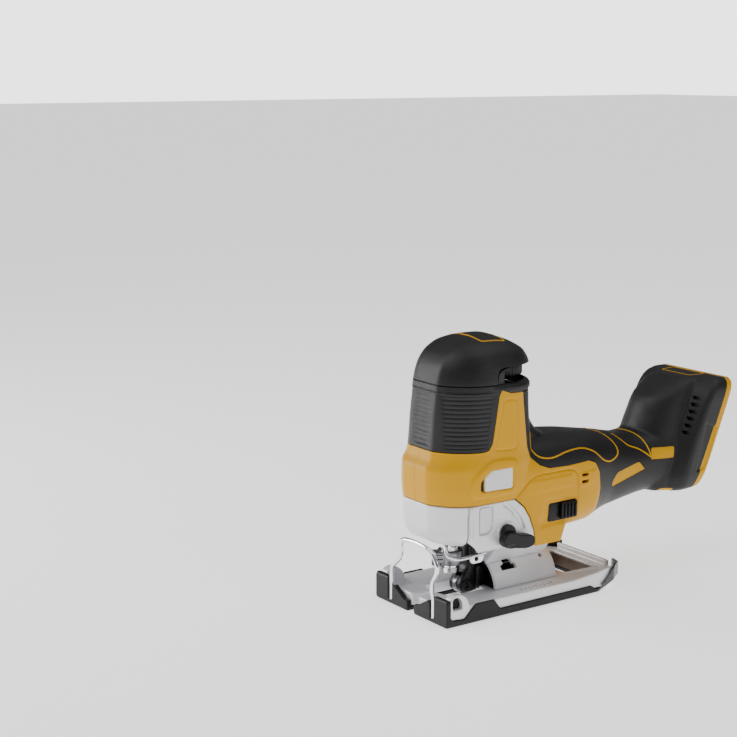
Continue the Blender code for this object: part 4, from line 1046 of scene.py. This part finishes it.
# ---- wires, clamp, fork and controls ----
def make_wires():
    leg, top = -78.6, -83
    guard = [(24.4, leg, 1.5), (24.4, leg, 9), (24.3, leg, 16), (24, -79.6, 22), (26.4, -81, 29),
             (31.6, -82.4, 35.2), (34, top, 40.6), (32, top, 46.6), (25.6, top, 51.8), (12, top, 53.6),
             (-3.6, top, 52.4), (-7.6, top, 48.6), (-8, -82.8, 41.5), (-11.2, -82, 36.4),
             (-20.4, -80.6, 29), (-23.8, -79.2, 22), (-24.5, leg, 14), (-24.4, leg, 1.5)]
    wire = pipe("wire_guard_fine", smooth_route(guard), 1.6, 16)
    finish(wire, "bright_steel", body="shoe", stands_for=("wire_guard",), angle=60)
    hook = [(11.5, -56, 53), (12.4, -58.6, 49.4), (14.8, -61, 45.4), (18.2, -61, 41.4),
            (20.2, -56, 39.2), (20.4, -48, 38.8), (20.4, -40, 39.4), (20.4, -31, 40)]
    finish(pipe("hook_wire_fine", smooth_route(hook), 1.45, 14), "bright_steel",
           stands_for=("hook_wire",), angle=60)
    ear = plate("hook_ear", [rounded([(-42, 32.8), (-32, 32.8), (-30, 40), (-43.5, 40)], 2.6),
                             circle((-37.2, 36.2), 1.8, 24)[::-1]], "X", 17.4, 19.1, 0.3)
    finish(ear, "bright_steel")


def make_nose_shade_plate():
    """A dark plate behind the blade clamp that closes the nose: painted shade for the shadowed hollow there.
    """
    outline = [(-26, 48), (-26, 42), (-14, 37), (14, 37), (26, 42), (26, 48)]
    finish(plate("nose_shade_plate", [rounded(outline, 2)], "Y", -24.6, -22.6, 0.4), "dark_plastic")


def make_clamp():
    y = -46
    rows = [(23.6, 5.4), (24.2, 6.4), (27.6, 6.6), (28, 6), (29.2, 6), (29.6, 7), (41, 7), (41.6, 6.2),
            (43, 6.2), (43.4, 7), (45.6, 7), (46, 6.6)]
    clamp = loft("blade_clamp_fine", [[(r * cos(t), y + r * sin(t), z) for t in turns(48)] for z, r in rows])
    cut(clamp, block("blade_slot", (-0.9, -52.5, 20), (0.9, -41.5, 38)))
    finish(clamp, "bright_steel", body="plunger", stands_for=("blade_clamp",), angle=30)
    ring = arc((0, y), 8.9, -60, 240, 51)
    tab = [(-6.5, -57.5), (-2, -60.4), (2, -60.4), (4.5, -57)]
    lever = plate("clamp_lever_fine", [ring + tab, circle((0, y), 7.3)[::-1]], "Z", 29.9, 40.2, 0.5)
    for z in (31.8, 34.9, 38):
        cut(lever, block("ridge", (-12, -62, z), (12, -55.6, z + 0.9)))
    finish(lever, "steel", body="clamp_lever", stands_for=("clamp_lever",), angle=35)


FORK_PIN, ROLLER_AXIS = (-30.5, 65), (-36.5, 13)


def make_fork():
    """The forked arm that guides the blade's back, and its roller."""
    profile = [(-34, 69.4), (-28.3, 69.4), (-28.3, 31), (-18, 26), (-16.4, 18), (-19, 10.5), (-28, 8.2),
               (-38, 7.2), (-41.4, 9.6), (-42.2, 14), (-39, 19), (-34, 25)]
    fork = plate("roller_fork_fine", [rounded(profile, 2.5)], "X", -6.4, 6.4, 0.8)
    cut(fork, block("roller_room", (-2.7, -50, 0), (2.7, -29.4, 21.5), 0.5))
    cheek = rounded([(-29, 27.5), (-19, 25), (-17.4, 17.6), (-20, 11.2), (-29, 9.6)], 2.5)
    for side in SIDES:
        join(fork, axle("boss", side * 4, side * 7.6, ROLLER_AXIS, 4.4, 32, 0.5),
             side_plate("cheek", cheek, side, 5, 9.5, 0.8),
             rod("rib", (side * 6, -30.5, 26), (side * 6, -30.5, 58), 1.4, 16, 0.3))
    cut(fork, axle("pin_bore", -30, 30, FORK_PIN, 2.6, 24), axle("axle_bore", -30, 30, ROLLER_AXIS, 1.9, 24))
    finish(fork, "black_metal", body="roller_fork", stands_for=("roller_fork",))
    roller = axle("guide_roller_fine", -2.2, 2.2, ROLLER_AXIS, 6.2, 56, 0.7)
    cut(roller, axle("roller_bore", -9, 9, ROLLER_AXIS, 2, 24))
    finish(roller, "steel", body="guide_roller", stands_for=("guide_roller",), angle=30)


def make_lever():
    paddle = [(-31.6, 57.2), (-27.4, 59.4), (-22.6, 58.4), (-17.6, 56), (-7.6, 54.8), (-4.4, 51.4),
              (-5.6, 46.8), (-12, 45.4), (-19, 46.8), (-27, 47.2), (-31.6, 49.2), (-33.4, 53.4)]
    lever = plate("orbital_lever_fine", [rounded(paddle, 3)], "X", 37.6, 43.8)
    join(lever, axle("boss", 36.3, 39.6, LEVER_AXIS, 6))
    cut(lever, block("finger", (42.6, -30, 40), (48, -20.5, 50.5), 1.5))
    soften(lever, 0.4, 9)
    finish(lever, "black_plastic", body="orbital_lever", stands_for=("orbital_lever",), angle=0)


def make_switch():
    """A ribbed slider in a dark track."""
    button = block("slide_switch_fine", (35.6, 24.2, 58.8), (38, 38.8, 70.9), 0.9, 3)
    for i in range(4):
        y = 26.9 + 3.15 * i
        join(button, block("rib", (37.2, y - 0.75, 60), (39.3, y + 0.75, 69.8), 0.6, 3))
    finish(button, "black_plastic", body="slide_switch", stands_for=("slide_switch",))
    rim = rounded([(13.3, 57.9), (39.5, 57.9), (39.5, 71.6), (13.3, 71.6)], 2.2)
    slot = rounded([(18.6, 62.6), (36.6, 62.6), (36.6, 67.4), (18.6, 67.4)], 0.8)
    track = plate("switch_track_fine", [rim, slot[::-1]], "X", 33, 35.2, 0.3)
    join(track, block("stop_ramp", (34.4, 14, 58.8), (35.4, 23.4, 70.9), 0.4, 3))
    finish(track, "black_plastic", stands_for=("switch_track",))


def make_badges():
    """Blank light plates in the side frames, with a dark slot at the front end."""
    badge = rounded([(-45.2, 89.4), (-21, 88.9), (-21, 103.3), (-39.2, 103.3), (-45.2, 99.2)], 1.6)
    slot = rounded([(-48.9, 89.2), (-45.9, 89.2), (-45.9, 98.6), (-48.9, 96.8)], 0.6)
    for name, side in (("badge_left", 1), ("badge_right", -1)):
        finish(side_plate(name + "_fine", badge, side, 35.4, 37.35, 0.4), "silver_plastic",
               stands_for=(name,), angle=35)
        finish(side_plate(name + "_slot", slot, side, 34.8, 36.6, 0.2), "dark_plastic", angle=35,
               look=SHADOW)


make_camera()
make_studio()
dress_nodes()
ROOM = make_shells()
make_sleeve(ROOM)
make_cap(ROOM)
remove(ROOM)
make_dial()
make_nose()
make_case()
make_saddle()
make_shoe()
make_sole()
make_window_painted_shade()
make_clips()
make_wires()
make_nose_shade_plate()
make_clamp()
make_fork()
make_lever()
make_switch()
make_badges()
